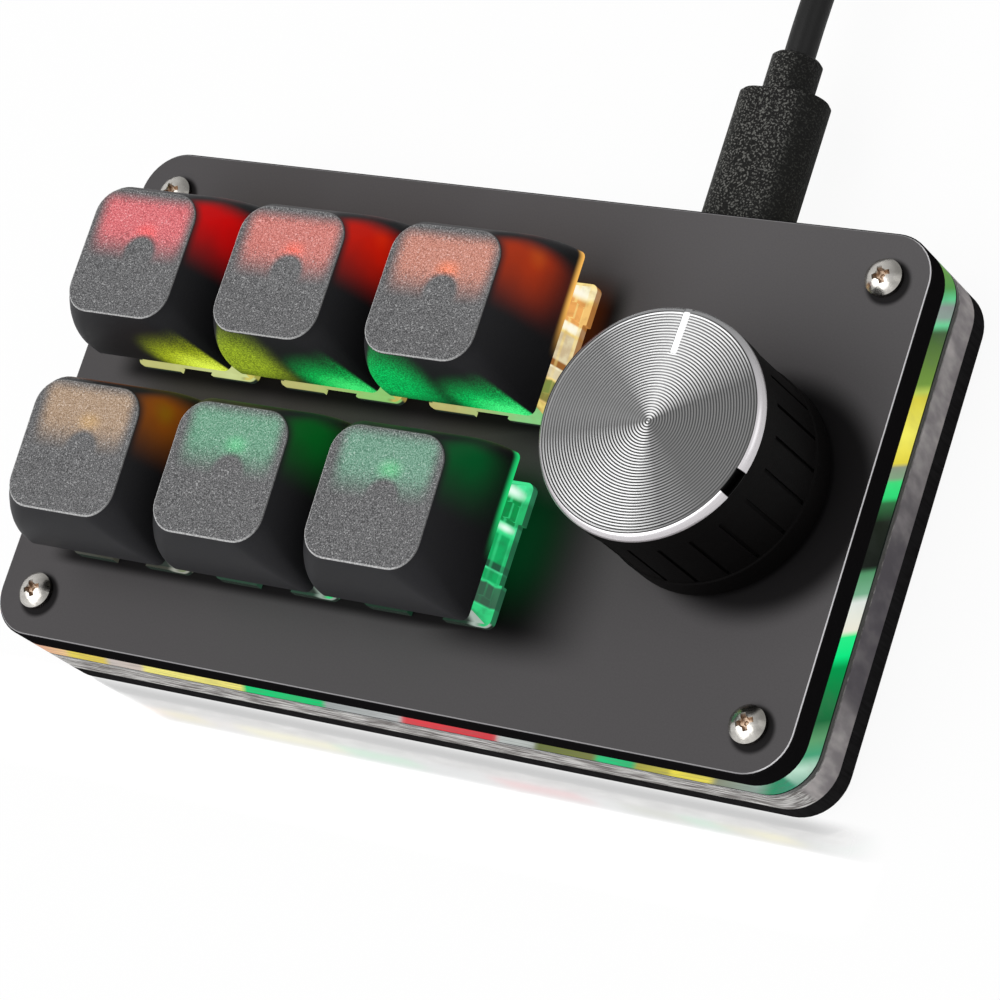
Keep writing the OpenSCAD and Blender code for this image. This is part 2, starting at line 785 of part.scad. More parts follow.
// Moulded cap: curved walls, a dished and tilted top, and a socket for the stem's cross
module keycap(i) {
    ceiling_h = cap_height(i) - cap_roof;
    ceiling_t = ceiling_h / cap_height(i);
    slope = cap_slope(i);
    hollow = [
        hollow_ring(ceiling_t, ceiling_h, slope, i),
        hollow_ring(0.5, ceiling_h / 2, slope / 2, i),
        hollow_ring(0, 0, 0, i)
    ];
    sides = [for (t = cap_side_rings) side_ring(t, i)];
    dish = [for (s = cap_dish_rings) dish_ring(s, i)];
    middle = [0, cap_move(i), cap_height(i) - dish_depth];
    ceiling = [0, cap_move(i) * ceiling_t, ceiling_h];
    post_h = ceiling_h + cap_lift;
    socket = cross_span + 2 * cross_gap;
    color([0.2, 0.2, 0.21])
        translate(key_place(i))
            difference() {
                union() {
                    translate([0, 0, cap_z])
                        skin(concat(hollow, sides, dish), ceiling, middle);
                    translate([0, 0, lid_h])
                        cylinder(h = post_h + 0.3, r = cap_post_r);
                }
                translate([0, 0, lid_h]) {
                    centred_box([socket, cross_bar_x + 2 * cross_gap, cross_h + 0.1 + cut], -cut);
                    centred_box([cross_bar_y + 2 * cross_gap, socket, cross_h + 0.1 + cut], -cut);
                }
            }
}

// Slider with its cross, spring bore, guide rod and the leg that works the contact
module switch_stem(i) {
    color([0.85, 0.85, 0.82])
        translate(key_place(i)) {
            difference() {
                union() {
                    centred_box([slider_w, slider_d, lid_h - skirt_z], skirt_z);
                    centred_box([skirt_w, skirt_d, lid_under_z - skirt_z], skirt_z);
                }
                translate([0, 0, skirt_z - cut])
                    cylinder(h = spring_seat_z - skirt_z + cut, r = spring_bore_r);
            }
            translate([0, 0, guide_low_z])
                cylinder(h = spring_seat_z - guide_low_z + 0.2, r = guide_r);
            centred_box([cross_span, cross_bar_x, cross_h + 0.2], lid_h - 0.2);
            centred_box([cross_bar_y, cross_span, cross_h + 0.2], lid_h - 0.2);
            translate([leaf_x, -skirt_d / 2 - 0.3, 0])
                centred_box([1.2, 0.8, 1.4], skirt_z - 1);
        }
}

// Height of the spring's wire at turn u: one closed turn at each end, even pitch between
function spring_height(u, length) =
    let (
        wire_d = 2 * spring_wire_r,
        open_h = length - 2 * wire_d
    )
    u < 1 ? wire_d * u
    : u > spring_turns - 1 ? length - wire_d * (spring_turns - u)
    : wire_d + open_h * (u - 1) / (spring_turns - 2);

module switch_spring(i) {
    steps = 10;
    sides = 4;
    length = spring_seat_z - switch_floor_z - 2 * spring_wire_r;
    start_z = switch_floor_z + spring_wire_r;
    rings = [
        for (k = [0 : steps * spring_turns])
            let (u = k / steps, a = 360 * u)
            [for (s = [0 : sides - 1])
                let (
                    r = spring_r + spring_wire_r * cos(360 * s / sides),
                    z = spring_wire_r * sin(360 * s / sides)
                )
                [r * cos(a), r * sin(a), start_z + spring_height(u, length) + z]]
    ];
    top_z = start_z + length;
    end_angle = 360 * spring_turns;
    color([0.8, 0.75, 0.6])
        translate(key_place(i))
            skin(rings, [spring_r, 0, start_z],
                 [spring_r * cos(end_angle), spring_r * sin(end_angle), top_z]);
}

// Block whose four sides lean in from the low size to the high size
module leaning_block(low, high, z0, z1) {
    points = [
        for (level = [[low, z0], [high, z1]], corner = [[-1, -1], [1, -1], [1, 1], [-1, 1]])
            [corner[0] * level[0][0] / 2, corner[1] * level[0][1] / 2, level[1]]
    ];
    faces = concat(
        [[0, 1, 2, 3], [7, 6, 5, 4]],
        [for (i = [0 : 3]) [i, i + 4, (i + 1) % 4 + 4, (i + 1) % 4]]
    );
    polyhedron(points, faces);
}

// Clear lid with the slider's opening, a slot over the light and four clip windows
module switch_lid(i) {
    lean_w = (lid_foot_w - lid_top_w) / (lid_h - flange_t);
    lean_d = (lid_foot_d - lid_top_d) / (lid_h - flange_t);
    cavity_h = lid_under_z - flange_t;
    low = [lid_foot_w - 2 * lid_wall + lean_w * cut, lid_foot_d - 2 * lid_wall + lean_d * cut];
    high = [lid_foot_w - 2 * lid_wall - lean_w * cavity_h,
            lid_foot_d - 2 * lid_wall - lean_d * cavity_h];
    slot_y = slider_d / 2 + slider_gap + 0.7;
    color([0.9, 0.92, 0.9, 0.5])
        translate(key_place(i))
            difference() {
                leaning_block([lid_foot_w, lid_foot_d], [lid_top_w, lid_top_d], flange_t, lid_h);
                leaning_block(low, high, flange_t - cut, lid_under_z);
                centred_box([slider_w + 2 * slider_gap, slider_d + 2 * slider_gap,
                             lid_roof + 2 * cut], lid_under_z - cut);
                translate([-led_window_w / 2, slot_y, lid_under_z - cut])
                    cube([led_window_w, 1.2, lid_roof + 2 * cut]);
                for (y = [-1, 1])
                    translate([0, y * clip_y, 0])
                        centred_box([lid_foot_w + 1, clip_w + 2 * clip_gap, clip_h + clip_gap + cut],
                                    flange_t - cut);
            }
}

clip_y = 4.2;
clip_w = 1.6;
clip_h = 1.8;
clip_t = 0.7;
clip_gap = 0.1;

// Outline of the flange: full at its corners, with a shallow notch in each side
module flange_outline() {
    front_l = flange_side - 2 * flange_tab;
    side_l = front_l + 2 * flange_tab_less;
    difference() {
        rounded_rect(flange_side, flange_side, 0.8);
        for (x = [-1, 1])
            translate([x * flange_side / 2, 0])
                square([2 * 0.4, side_l], center = true);
        for (y = [-1, 1])
            translate([0, y * flange_side / 2])
                square([front_l, 2 * 0.6], center = true);
    }
}

// Switch body with its flange, clips, spring boss and locating peg
module switch_base(i) {
    color([0.9, 0.92, 0.9, 0.5])
        translate(key_place(i)) {
            difference() {
                union() {
                    centred_box([switch_body, switch_body, switch_depth], -switch_depth);
                    linear_extrude(flange_t)
                        flange_outline();
                }
                centred_box([switch_cavity, switch_cavity, switch_depth + flange_t + cut],
                            switch_floor_z);
                translate([0, led_y, 0])
                    centred_box([led_window_w, led_window_d, switch_wall + 2 * cut],
                                -switch_depth - cut);
                for (place = pin_places)
                    translate([place[0], place[1], -switch_depth - cut])
                        cylinder(h = switch_wall + 2 * cut, r = pin_r + board_hole_gap);
                translate([0, 0, -switch_depth - cut])
                    cylinder(h = switch_wall + 2 * cut, r = peg_r - 0.2);
            }
            difference() {
                union() {
                    translate([0, 0, switch_floor_z - 0.2])
                        cylinder(h = boss_top_z - switch_floor_z + 0.2, r = boss_r);
                    translate([0, 0, -switch_depth - peg_h])
                        cylinder(h = 0.4, r1 = peg_r - 0.4, r2 = peg_r);
                    translate([0, 0, 0.4 - switch_depth - peg_h])
                        cylinder(h = peg_h - 0.4, r = peg_r);
                    translate([0, 0, -switch_depth])
                        cylinder(h = switch_wall, r = peg_r - 0.1);
                }
                translate([0, 0, guide_bore_z])
                    cylinder(h = boss_top_z - guide_bore_z + cut, r = guide_r + guide_gap);
            }
            for (x = [-1, 1], y = [-1, 1])
                translate([x * (lid_foot_w / 2 - clip_t / 2 - 0.15), y * clip_y, 0])
                    centred_box([clip_t, clip_w, clip_h + 0.2], flange_t - 0.2);
        }
}

// Pair of contacts per switch: a bent leaf and a blade, each with its pin through the board
module switch_contacts() {
    color([0.85, 0.7, 0.35])
        at_keys() {
            for (place = pin_places)
                translate([place[0], place[1], -switch_depth - peg_h])
                    cylinder(h = peg_h + switch_wall, r = pin_r);
            translate([leaf_x, leaf_y, 0])
                centred_box([leaf_w, leaf_t, 3.4], switch_floor_z);
            translate([pin_places[1][0], (pin_places[1][1] + leaf_y) / 2, 0])
                centred_box([0.8, abs(pin_places[1][1] - leaf_y) + leaf_t, 0.3], switch_floor_z);
            translate([pin_places[0][0], pin_places[0][1], 0])
                centred_box([0.3, 1.6, skirt_z - key_travel - switch_floor_z - 0.2], switch_floor_z);
        }
}

// ---- Encoder and knob ----

module at_encoder() {
    translate([knob_x, 0, encoder_z])
        children();
}

module at_terminals() {
    for (k = [-1 : 1])
        translate([knob_x + k * terminal_pitch, -encoder_d / 2 - terminal_t / 2, 0])
            children();
    for (k = [-1, 1])
        translate([knob_x + k * terminal_pitch, encoder_d / 2 + terminal_t / 2, 0])
            children();
}

module encoder_base() {
    color([0.12, 0.12, 0.12])
        at_encoder()
            difference() {
                centred_box([encoder_w, encoder_d, encoder_h], 0);
                translate([0, 0, rotor_cavity_z])
                    cylinder(h = encoder_h - rotor_cavity_z + cut, r = rotor_cavity_r);
                translate([0, 0, dome_z])
                    cylinder(h = encoder_h, r = dome_cavity_r);
            }
}

// Solder terminals that run down the housing's two ends and through the board
module encoder_pins() {
    color([0.8, 0.8, 0.82])
        translate([0, 0, encoder_z])
            at_terminals()
                centred_box([terminal_w, terminal_t, terminal_drop + 1.5], -terminal_drop);
}

// Snap dome under the shaft, which clicks when the knob is pressed
module encoder_dome() {
    dome_r = dome_cavity_r - 0.2;
    ball_r = (dome_r * dome_r + dome_h * dome_h) / (2 * dome_h);
    color([0.8, 0.8, 0.82])
        at_encoder()
            translate([0, 0, dome_z])
                intersection() {
                    cylinder(h = dome_h + cut, r = dome_r);
                    difference() {
                        translate([0, 0, dome_h - ball_r])
                            sphere(ball_r);
                        translate([0, 0, dome_h - ball_r])
                            sphere(ball_r - 0.12);
                    }
                }
}

// Metal cover with the threaded bush that carries the shaft
module encoder_frame() {
    color([0.75, 0.75, 0.77])
        at_encoder()
            difference() {
                union() {
                    centred_box([encoder_w, encoder_d, encoder_cover_t], cover_z);
                    translate([0, 0, bush_z - 0.1])
                        cylinder(h = bush_h - 0.2, r = bush_r);
                    translate([0, 0, bush_z + bush_h - 0.3])
                        cylinder(h = 0.3, r1 = bush_r, r2 = bush_r - 0.3);
                    for (x = [-1, 1])
                        translate([x * (encoder_w / 2 + 0.2), 0, 0])
                            centred_box([0.4, 6, bush_z], 0);
                }
                translate([0, 0, -cut])
                    cylinder(h = bush_z + bush_h + 2 * cut, r = shaft_r + shaft_gap);
            }
}

// Shaft of radius r with a flat
module flatted(r, flat, z0, z1) {
    difference() {
        translate([0, 0, z0])
            cylinder(h = z1 - z0, r = r);
        translate([-2 * r, r - flat, z0 - cut])
            cube([4 * r, 2 * r, z1 - z0 + 2 * cut]);
    }
}

// Code wheel that turns with the shaft and lets it slide
module encoder_rotor() {
    color([0.85, 0.85, 0.8])
        at_encoder()
            difference() {
                translate([0, 0, rotor_z])
                    cylinder(h = rotor_t, r = rotor_r);
                flatted(journal_r + journal_gap, journal_flat, rotor_z - cut,
                        rotor_z + rotor_t + cut);
            }
}

module encoder_shaft() {
    round_l = flat_z - encoder_z - shoulder_z;
    color([0.75, 0.75, 0.77])
        translate([knob_x, 0, 0]) {
            flatted(journal_r, journal_flat + journal_gap, encoder_z + shaft_low_z,
                    encoder_z + shoulder_z + 0.2);
            translate([0, 0, encoder_z + shoulder_z])
                cylinder(h = round_l, r = shaft_r);
            translate([0, 0, encoder_z + shoulder_z])
                cylinder(h = cover_z - shoulder_z, r = shaft_r + 0.8);
            flatted(shaft_r, shaft_flat, flat_z - 0.1, shaft_top_z);
        }
}

// Black moulded body of the knob: grip panels outside, hub and ribs inside
module knob_skirt() {
    skirt_h = disc_z - knob_z;
    hub_h = hub_z - knob_z;
    cavity_h = hub_h + 4.4;
    inner_r = knob_r - knob_wall;
    panel_r = knob_r - grip_depth;
    panel_top = skirt_h - grip_high;
    groove_h = panel_top - grip_low - 2 * grip_depth - 0.2;
    color([0.06, 0.06, 0.06])
        translate([knob_x, 0, knob_z])
            difference() {
                union() {
                    rotate_extrude()
                        polygon([
                            [0, hub_h], [hub_r, hub_h], [hub_r, cavity_h], [inner_r, cavity_h],
                            [inner_r, 0], [knob_r - 0.3, 0], [knob_r, 0.3], [knob_r, grip_low],
                            [panel_r, grip_low + grip_depth], [panel_r, panel_top - grip_depth],
                            [knob_r, panel_top], [knob_r, skirt_h],
                            [spigot_out_r + spigot_gap, skirt_h],
                            [spigot_out_r + spigot_gap, skirt_h - spigot_h],
                            [spigot_in_r - spigot_gap, skirt_h - spigot_h],
                            [spigot_in_r - spigot_gap, skirt_h], [0, skirt_h]
                        ]);
                    for (k = [1 : hub_ribs])
                        rotate([0, 0, 45 + k * 360 / hub_ribs])
                            translate([hub_r - 0.5, -hub_rib_t / 2, hub_h + 1])
                                cube([inner_r - hub_r + 1, hub_rib_t, cavity_h - hub_h - 0.5]);
                }
                for (k = [1 : grip_panels])
                    rotate([0, 0, groove_angle + k * 360 / grip_panels])
                        translate([panel_r - groove_depth, -groove_w / 2,
                                   grip_low + grip_depth + 0.1])
                            cube([2, groove_w, groove_h]);
                flatted(shaft_r + 0.02, shaft_flat, hub_h - cut, skirt_h - knob_roof);
            }
}

// Spun aluminium disc with a chamfered rim, fine grooves, a pointer slot and a rim notch
module knob_disc() {
    face_r = knob_r - disc_chamfer;
    spin_count = floor((face_r - spin_pitch) / spin_pitch);
    face = [
        for (k = [spin_count : -1 : 1])
            each [[(k + 0.5) * spin_pitch, disc_h], [k * spin_pitch, disc_h - spin_depth]]
    ];
    color([0.82, 0.83, 0.85])
        translate([knob_x, 0, disc_z])
            difference() {
                rotate_extrude()
                    polygon(concat(
                        [[0, 0], [spigot_in_r, 0], [spigot_in_r, 0.05 - spigot_h],
                         [spigot_out_r, 0.05 - spigot_h], [spigot_out_r, 0], [knob_r, 0],
                         [knob_r, 0.1], [face_r, disc_h]],
                        face,
                        [[0.5 * spin_pitch, disc_h], [0, disc_h]]
                    ));
                rotate([0, 0, pointer_angle])
                    translate([pointer_in_r, -pointer_w / 2, disc_h - pointer_depth])
                        cube([face_r - pointer_in_r, pointer_w, pointer_depth + cut]);
                rotate([0, 0, notch_angle])
                    translate([face_r - 0.05, -notch_l / 2, 0.1])
                        cube([2, notch_l, disc_h]);
            }
}

// ---- USB lead ----

module usb_plug_shell() {
    color([0.78, 0.78, 0.8])
        translate([usb_x, 0, usb_z])
            difference() {
                stadium_bar(plug_w, plug_h, mouth_y - plug_insert, grip_y - mouth_y + plug_insert);
                stadium_bar(plug_w - 0.6, plug_h - 0.6, mouth_y - plug_insert - cut,
                            plug_insert + cut - 0.5);
            }
}

// Moulded grip with its strain relief
module usb_plug_overmold() {
    color([0.07, 0.07, 0.07])
        translate([usb_x, 0, usb_z]) {
            stadium_bar(grip_w, grip_h, grip_y, grip_l - 0.3);
            stadium_bar(grip_w - 0.5, grip_h - 0.5, relief_y - 0.3, 0.3);
            translate([0, cable_y - 0.3, 0])
                rotate([90, 0, 0])
                    cylinder(h = relief_l - 0.3, r = relief_r);
            translate([0, cable_y, 0])
                rotate([90, 0, 0])
                    cylinder(h = 0.3, r1 = relief_r - 0.3, r2 = relief_r);
        }
}

function unit(v) = v / norm(v);

// Ring of a tube's points round p, square to the way that the tube runs
function tube_ring(p, way, r, sides) =
    let (
        side = unit(cross(way, [0, 0, 1])),
        up = cross(side, way)
    )
    [for (s = [0 : sides - 1])
        p + r * (cos(360 * s / sides) * side + sin(360 * s / sides) * up)];

module tube(points, r, sides) {
    last = len(points) - 1;
    rings = [
        for (k = [0 : last])
            let (way = unit(points[min(k + 1, last)] - points[max(k - 1, 0)]))
            tube_ring(points[k], way, r, sides)
    ];
    skin(rings, points[0], points[last]);
}

module cable() {
    color([0.06, 0.06, 0.06]) {
        tube(lead_points, cable_r, 8);
        tube(tail_points, cable_r, 8);
    }
}

// Outer form of the wound turns
module cable_coil() {
    color([0.06, 0.06, 0.06])
        translate([coil_centre[0], coil_centre[1], coil_z])
            rotate_extrude()
                translate([(coil_in_r + coil_out_r) / 2, coil_layers * cable_r])
                    rounded_rect(coil_across * 2 * cable_r, coil_layers * 2 * cable_r, cable_r);
}

// Flat twist tie closed round the coil
module cable_tie() {
    side = cable_r + 0.2;
    band_w = coil_out_r - coil_in_r + 2 * side;
    band_h = coil_layers * 2 * cable_r;
    mid_r = (coil_in_r + coil_out_r) / 2;
    color([0.1, 0.1, 0.1])
        translate([coil_centre[0], coil_centre[1], coil_z])
            rotate([0, 0, tie_angle])
                translate([mid_r, tie_w / 2, band_h / 2])
                    rotate([90, 0, 0])
                        linear_extrude(tie_w)
                            difference() {
                                square([band_w + 2 * tie_t, band_h + 2 * tie_t], center = true);
                                square([band_w, band_h], center = true);
                            }
}

// Host end of the lead: it lies on its broad side and points left
module at_host_plug() {
    last = tail_points[len(tail_points) - 1];
    translate([last[0], last[1], host_grip[2] / 2])
        rotate([0, 0, 90])
            children();
}

module host_plug_overmold() {
    color([0.07, 0.07, 0.07])
        at_host_plug() {
            translate([0, host_relief_l, 0])
                rotate([90, 0, 0])
                    cylinder(h = host_relief_l, r = 2.6);
            translate([0, host_grip[1] + host_relief_l, 0])
                rotate([90, 0, 0])
                    linear_extrude(host_grip[1])
                        rounded_rect(host_grip[0], host_grip[2], 2);
        }
}

module host_plug_shell() {
    color([0.78, 0.78, 0.8])
        at_host_plug()
            translate([0, host_relief_l + host_grip[1], 0])
                difference() {
                    translate([-host_shell[0] / 2, 0, -host_shell[2] / 2])
                        cube(host_shell);
                    translate([host_sheet - host_shell[0] / 2, 0.5, 0])
                        cube([host_shell[0] - 2 * host_sheet, host_shell[1],
                              host_shell[2] / 2 - host_sheet]);
                    for (x = [-1, 1])
                        translate([x * 2.5 - 1, 5, 0])
                            cube([2, 2.2, host_shell[2]]);
                }
}

top_plate();
upper_spacer();
circuit_board();
lower_spacer();
bottom_plate();
top_screws();
standoffs();
bottom_screws();
rubber_feet();
usb_socket();
controller_chip();
board_components();
key_leds();
edge_leds();
for (i = [1 : key_count]) {
    keycap(i);
    switch_stem(i);
    switch_spring(i);
    switch_lid(i);
    switch_base(i);
}
switch_contacts();
encoder_base();
encoder_pins();
encoder_dome();
encoder_frame();
encoder_rotor();
encoder_shaft();
knob_skirt();
knob_disc();
usb_plug_shell();
usb_plug_overmold();
cable();
cable_coil();
cable_tie();
host_plug_shell();
host_plug_overmold();
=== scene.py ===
"""Macro keypad: six backlit push keys and a rotary knob on a case of stacked plates."""

import math

import bmesh
import bpy
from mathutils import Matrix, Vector


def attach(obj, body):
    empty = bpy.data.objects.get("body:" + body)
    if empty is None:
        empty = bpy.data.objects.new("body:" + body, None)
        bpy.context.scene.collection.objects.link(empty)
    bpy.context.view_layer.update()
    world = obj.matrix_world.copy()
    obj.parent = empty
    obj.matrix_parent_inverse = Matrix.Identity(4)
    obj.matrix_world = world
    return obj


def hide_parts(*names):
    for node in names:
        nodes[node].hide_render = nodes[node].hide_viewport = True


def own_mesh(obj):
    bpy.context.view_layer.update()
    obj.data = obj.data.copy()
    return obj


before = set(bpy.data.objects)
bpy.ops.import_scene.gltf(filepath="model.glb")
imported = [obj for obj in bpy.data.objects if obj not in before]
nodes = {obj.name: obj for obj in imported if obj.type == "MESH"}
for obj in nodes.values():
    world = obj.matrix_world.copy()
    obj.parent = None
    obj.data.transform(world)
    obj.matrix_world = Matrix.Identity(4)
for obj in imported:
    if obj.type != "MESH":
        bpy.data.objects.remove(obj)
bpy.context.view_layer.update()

# ---- Camera ----
# A long lens looks down on the keypad from its front right.
camera_data = bpy.data.cameras.new("camera")
camera_data.lens = 148.55
camera_data.sensor_width = 36
camera_data.clip_start = 0.01
camera = bpy.data.objects.new("camera", camera_data)
camera.location = (0.23437, -0.10335, 0.35508)
camera.rotation_euler = [math.radians(a) for a in (23.712, 27.764, 19.786)]
bpy.context.scene.collection.objects.link(camera)
bpy.context.scene.camera = camera
bpy.context.scene.view_settings.view_transform = "Standard"


# ---- Lead ----
# A round PVC-jacketed data lead. It runs straight back from the plug, down to the desk, and
# is stored as a flat coil of two layers; its far end carries the host plug.
class Shade:
    """A socket of one material's nodes; arithmetic on it adds Math nodes."""

    def __init__(self, tree, socket=None):
        self.tree = tree
        self.socket = socket

    def node(self, kind, settings=None, values=None, out=0):
        """Adds a node: first its settings, then the value or the link of each socket."""
        made = self.tree.nodes.new("ShaderNode" + kind)
        for name, setting in (settings or {}).items():
            if name == "stops":
                ramp = made.color_ramp.elements
                ramp.remove(ramp[1])
                for k, (at, colour) in enumerate(setting):
                    stop = ramp[0] if k == 0 else ramp.new(at)
                    stop.position = at
                    stop.color = (*colour, 1)
            else:
                setattr(made, name, setting)
        for name, value in (values or {}).items():
            if isinstance(value, Shade):
                self.tree.links.new(value.socket, made.inputs[name])
            else:
                made.inputs[name].default_value = value
        return Shade(self.tree, made.outputs[out])

    def math(self, operation, *others):
        values = dict(enumerate((self, *others)))
        return self.node("Math", {"operation": operation}, values)

    def __add__(self, other):
        return self.math("ADD", other)

    __radd__ = __add__

    def __mul__(self, other):
        return self.math("MULTIPLY", other)

    __rmul__ = __mul__

    def __sub__(self, other):
        return self.math("SUBTRACT", other)

    def __rsub__(self, other):
        return self * -1 + other

    def __pow__(self, other):
        return self.math("POWER", other)

    def __abs__(self):
        return self.math("ABSOLUTE")

    def rise(self, low, high):
        """Goes smoothly from 0 at low to 1 at high."""
        if low > high:
            return 1 - self.rise(high, low)
        values = {"From Min": low, "From Max": high, "Value": self}
        return self.node("MapRange", {"interpolation_type": "SMOOTHSTEP"}, values)

    def mix(self, low, high):
        """The colour low where this is 0, and high where it is 1."""
        low, high = (c if isinstance(c, Shade) else (*c, 1) for c in (low, high))
        return self.node("Mix", {"data_type": "RGBA"}, {0: self, 6: low, 7: high}, 2)

    def into(self, name):
        """Feeds a socket of the material's shader."""
        shader = self.tree.nodes["Principled BSDF"]
        self.tree.links.new(self.socket, shader.inputs[name])

    def place(self):
        """The point on the object, in millimetres."""
        at = self.node("TexCoord", out=3)
        return at.node("VectorMath", {"operation": "SCALE"}, {0: at, "Scale": 1000.0})

    def axes(self):
        """The x, y and z parts of a vector."""
        return [self.node("SeparateXYZ", None, {0: self}, k) for k in range(3)]

    def faces(self):
        """The three parts of the surface's normal."""
        return self.node("NewGeometry", out=1).axes()

    def length(self, other):
        """How far a point with these two coordinates lies from 0."""
        return (self * self + other * other) ** 0.5

    def noise(self, scale, detail=2.0):
        values = {"Vector": self, "Scale": scale, "Detail": detail}
        return self.node("TexNoise", None, values)

    def stretch(self, x, y, z):
        """Coordinates or a colour, with each part scaled by its own factor."""
        return self.node("VectorMath", {"operation": "MULTIPLY"}, {0: self, 1: (x, y, z)})

    def bump(self, height):
        """Normals bent by this height, in millimetres."""
        values = {"Height": self * height, "Distance": 0.001}
        self.node("Bump", None, values).into("Normal")


def paint(*screen):
    """A colour given as the 0 to 255 values that a screen shows."""
    return tuple(((c / 255 + 0.055) / 1.055) ** 2.4 if c > 10 else c / 3294 for c in screen)


def finish(name, base, roughness, **sockets):
    """A new material and the Shade that its patterns start from."""
    material = bpy.data.materials.new(name)
    material.use_nodes = True
    shader = material.node_tree.nodes["Principled BSDF"]
    shader.inputs["Base Color"].default_value = (*base, 1)
    shader.inputs["Roughness"].default_value = roughness
    for socket, value in sockets.items():
        shader.inputs[socket.replace("_", " ")].default_value = value
    return material, Shade(material.node_tree)


CABLE_R = 0.0017
LEAD = [
    (23, 49, 8.5), (23, 54, 8.5), (23, 59, 8.2), (23, 64, 7.2), (23, 69, 5.8),
    (23, 74, 4.4), (23, 79, 3.2), (23, 84, 2.4), (23, 89, 2.1),
]
TAIL = [(-7, 119.5, 5.2), (-11.5, 119.5, 4.3), (-15, 119.5, 4.0), (-18, 119.5, 4.0)]
COIL_CENTRE = (-2.5, 94)
COIL_R = (25.5, 22.1, 18.7, 15.3)
COIL_LOW = 2.1
COIL_HIGH = 5.5
TURNS = 7.25
TURN_STEPS = 24


def ease(share):
    """Goes smoothly from 0 to 1, and stays there past both ends."""
    share = min(1, max(0, share))
    return share * share * (3 - 2 * share)


def coil_points():
    """Four turns inwards on the desk, a climb, and three and a quarter turns outwards."""
    radii = [*COIL_R, *reversed(COIL_R), COIL_R[0]]
    points = []
    for k in range(round(TURNS * TURN_STEPS) + 1):
        turn, part = divmod(k, TURN_STEPS)
        share = part / TURN_STEPS
        r = radii[turn] + (radii[turn + 1] - radii[turn]) * ease((share - 0.85) / 0.15)
        layer = 0 if turn < 3 else ease((share - 0.7) / 0.15) if turn == 3 else 1
        a = 2 * math.pi * share
        points.append((
            COIL_CENTRE[0] + r * math.cos(a),
            COIL_CENTRE[1] + r * math.sin(a),
            COIL_LOW + (COIL_HIGH - COIL_LOW) * layer,
        ))
    return points


route = [Vector(p) * 0.001 for p in LEAD + coil_points() + TAIL]
lead_curve = bpy.data.curves.new("lead", "CURVE")
lead_curve.dimensions = "3D"
lead_curve.resolution_u = 4
lead_curve.bevel_depth = CABLE_R
lead_curve.bevel_resolution = 6
lead_curve.use_fill_caps = True
spline = lead_curve.splines.new("BEZIER")
spline.bezier_points.add(len(route) - 1)
for point, at in zip(spline.bezier_points, route):
    point.co = at
    point.handle_left_type = point.handle_right_type = "AUTO"
lead = bpy.data.objects.new("lead", lead_curve)
bpy.context.scene.collection.objects.link(lead)

jacket, shade = finish("jacket", paint(9, 9, 9), 0.4, Specular_IOR_Level=0.2)
(shade.place().noise(0.5) * 0.12 + 0.34).into("Roughness")
shade.place().noise(5.0, 4.0).bump(0.03)
lead_curve.materials.append(jacket)
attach(lead, "case")
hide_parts("cable", "cable_coil")

# ---- Lead's plugs and tie ----
# Both plugs have a moulded grip with a fine leather grain, over a plated steel shell. A flat
# twist tie holds the turns of the lead.
grip, shade = finish("plug_grip", paint(20, 20, 20), 0.5, Specular_IOR_Level=0.08)
at = shade.place()
nx, _, nz = shade.faces()
grain = at.noise(4.6, 2.0)
# Painted light: the grain's specks are painted brighter on the faces turned up and to the left,
# towards the lamp.
specks_painted_lit = grain.rise(0.5, 0.68) * (0.2 + 0.8 * (nz - nx).rise(0.3, 0.9))
specks_painted_lit.mix(paint(19, 19, 18), paint(112, 112, 108)).into("Base Color")
(grain * 0.3 + 0.35).into("Roughness")
grain.bump(0.15)

plated, shade = finish("plated_steel", paint(205, 205, 208), 0.25, Metallic=1)
at = shade.place()
at.noise(0.8).mix(paint(156, 156, 160), paint(184, 184, 186)).into("Base Color")
(at.stretch(6, 0.3, 6).noise(3.0) * 0.2 + 0.15).into("Roughness")

tie_finish, shade = finish("tie_plastic", paint(36, 36, 38), 0.5)
(shade.place().stretch(1, 1, 0.2).noise(4.0) * 0.2 + 0.4).into("Roughness")
shade.place().noise(6.0).bump(0.02)


def dress(material, *names):
    """Gives CAD nodes their finish."""
    for name in names:
        slots = nodes[name].data.materials
        slots.clear()
        slots.append(material)


dress(grip, "usb_plug_overmold", "host_plug_overmold")
dress(plated, "usb_plug_shell", "host_plug_shell", "usb_socket", "encoder_pins")
dress(tie_finish, "cable_tie")

# ---- Plates ----
# Two laser-cut sheets, satin black on their faces, close the case above and below. The top
# sheet's cut edge is glossier, and its bevel carries a painted highlight.
PLATE_X, PLATE_Y = 49.25, 28.5
CORNER_R = 5
DECK_Z = 15.2
# Where the screws, the keys and the knob stand on the top sheet, and half a switch's width.
SCREW_X, SCREW_Y = 44.25, 23.5
KEY_X = (-32.9, -13.85, 5.2)
KEY_Y = (11.0, -11.0)
FLANGE_R = 7.8
KNOB_X = 33.5

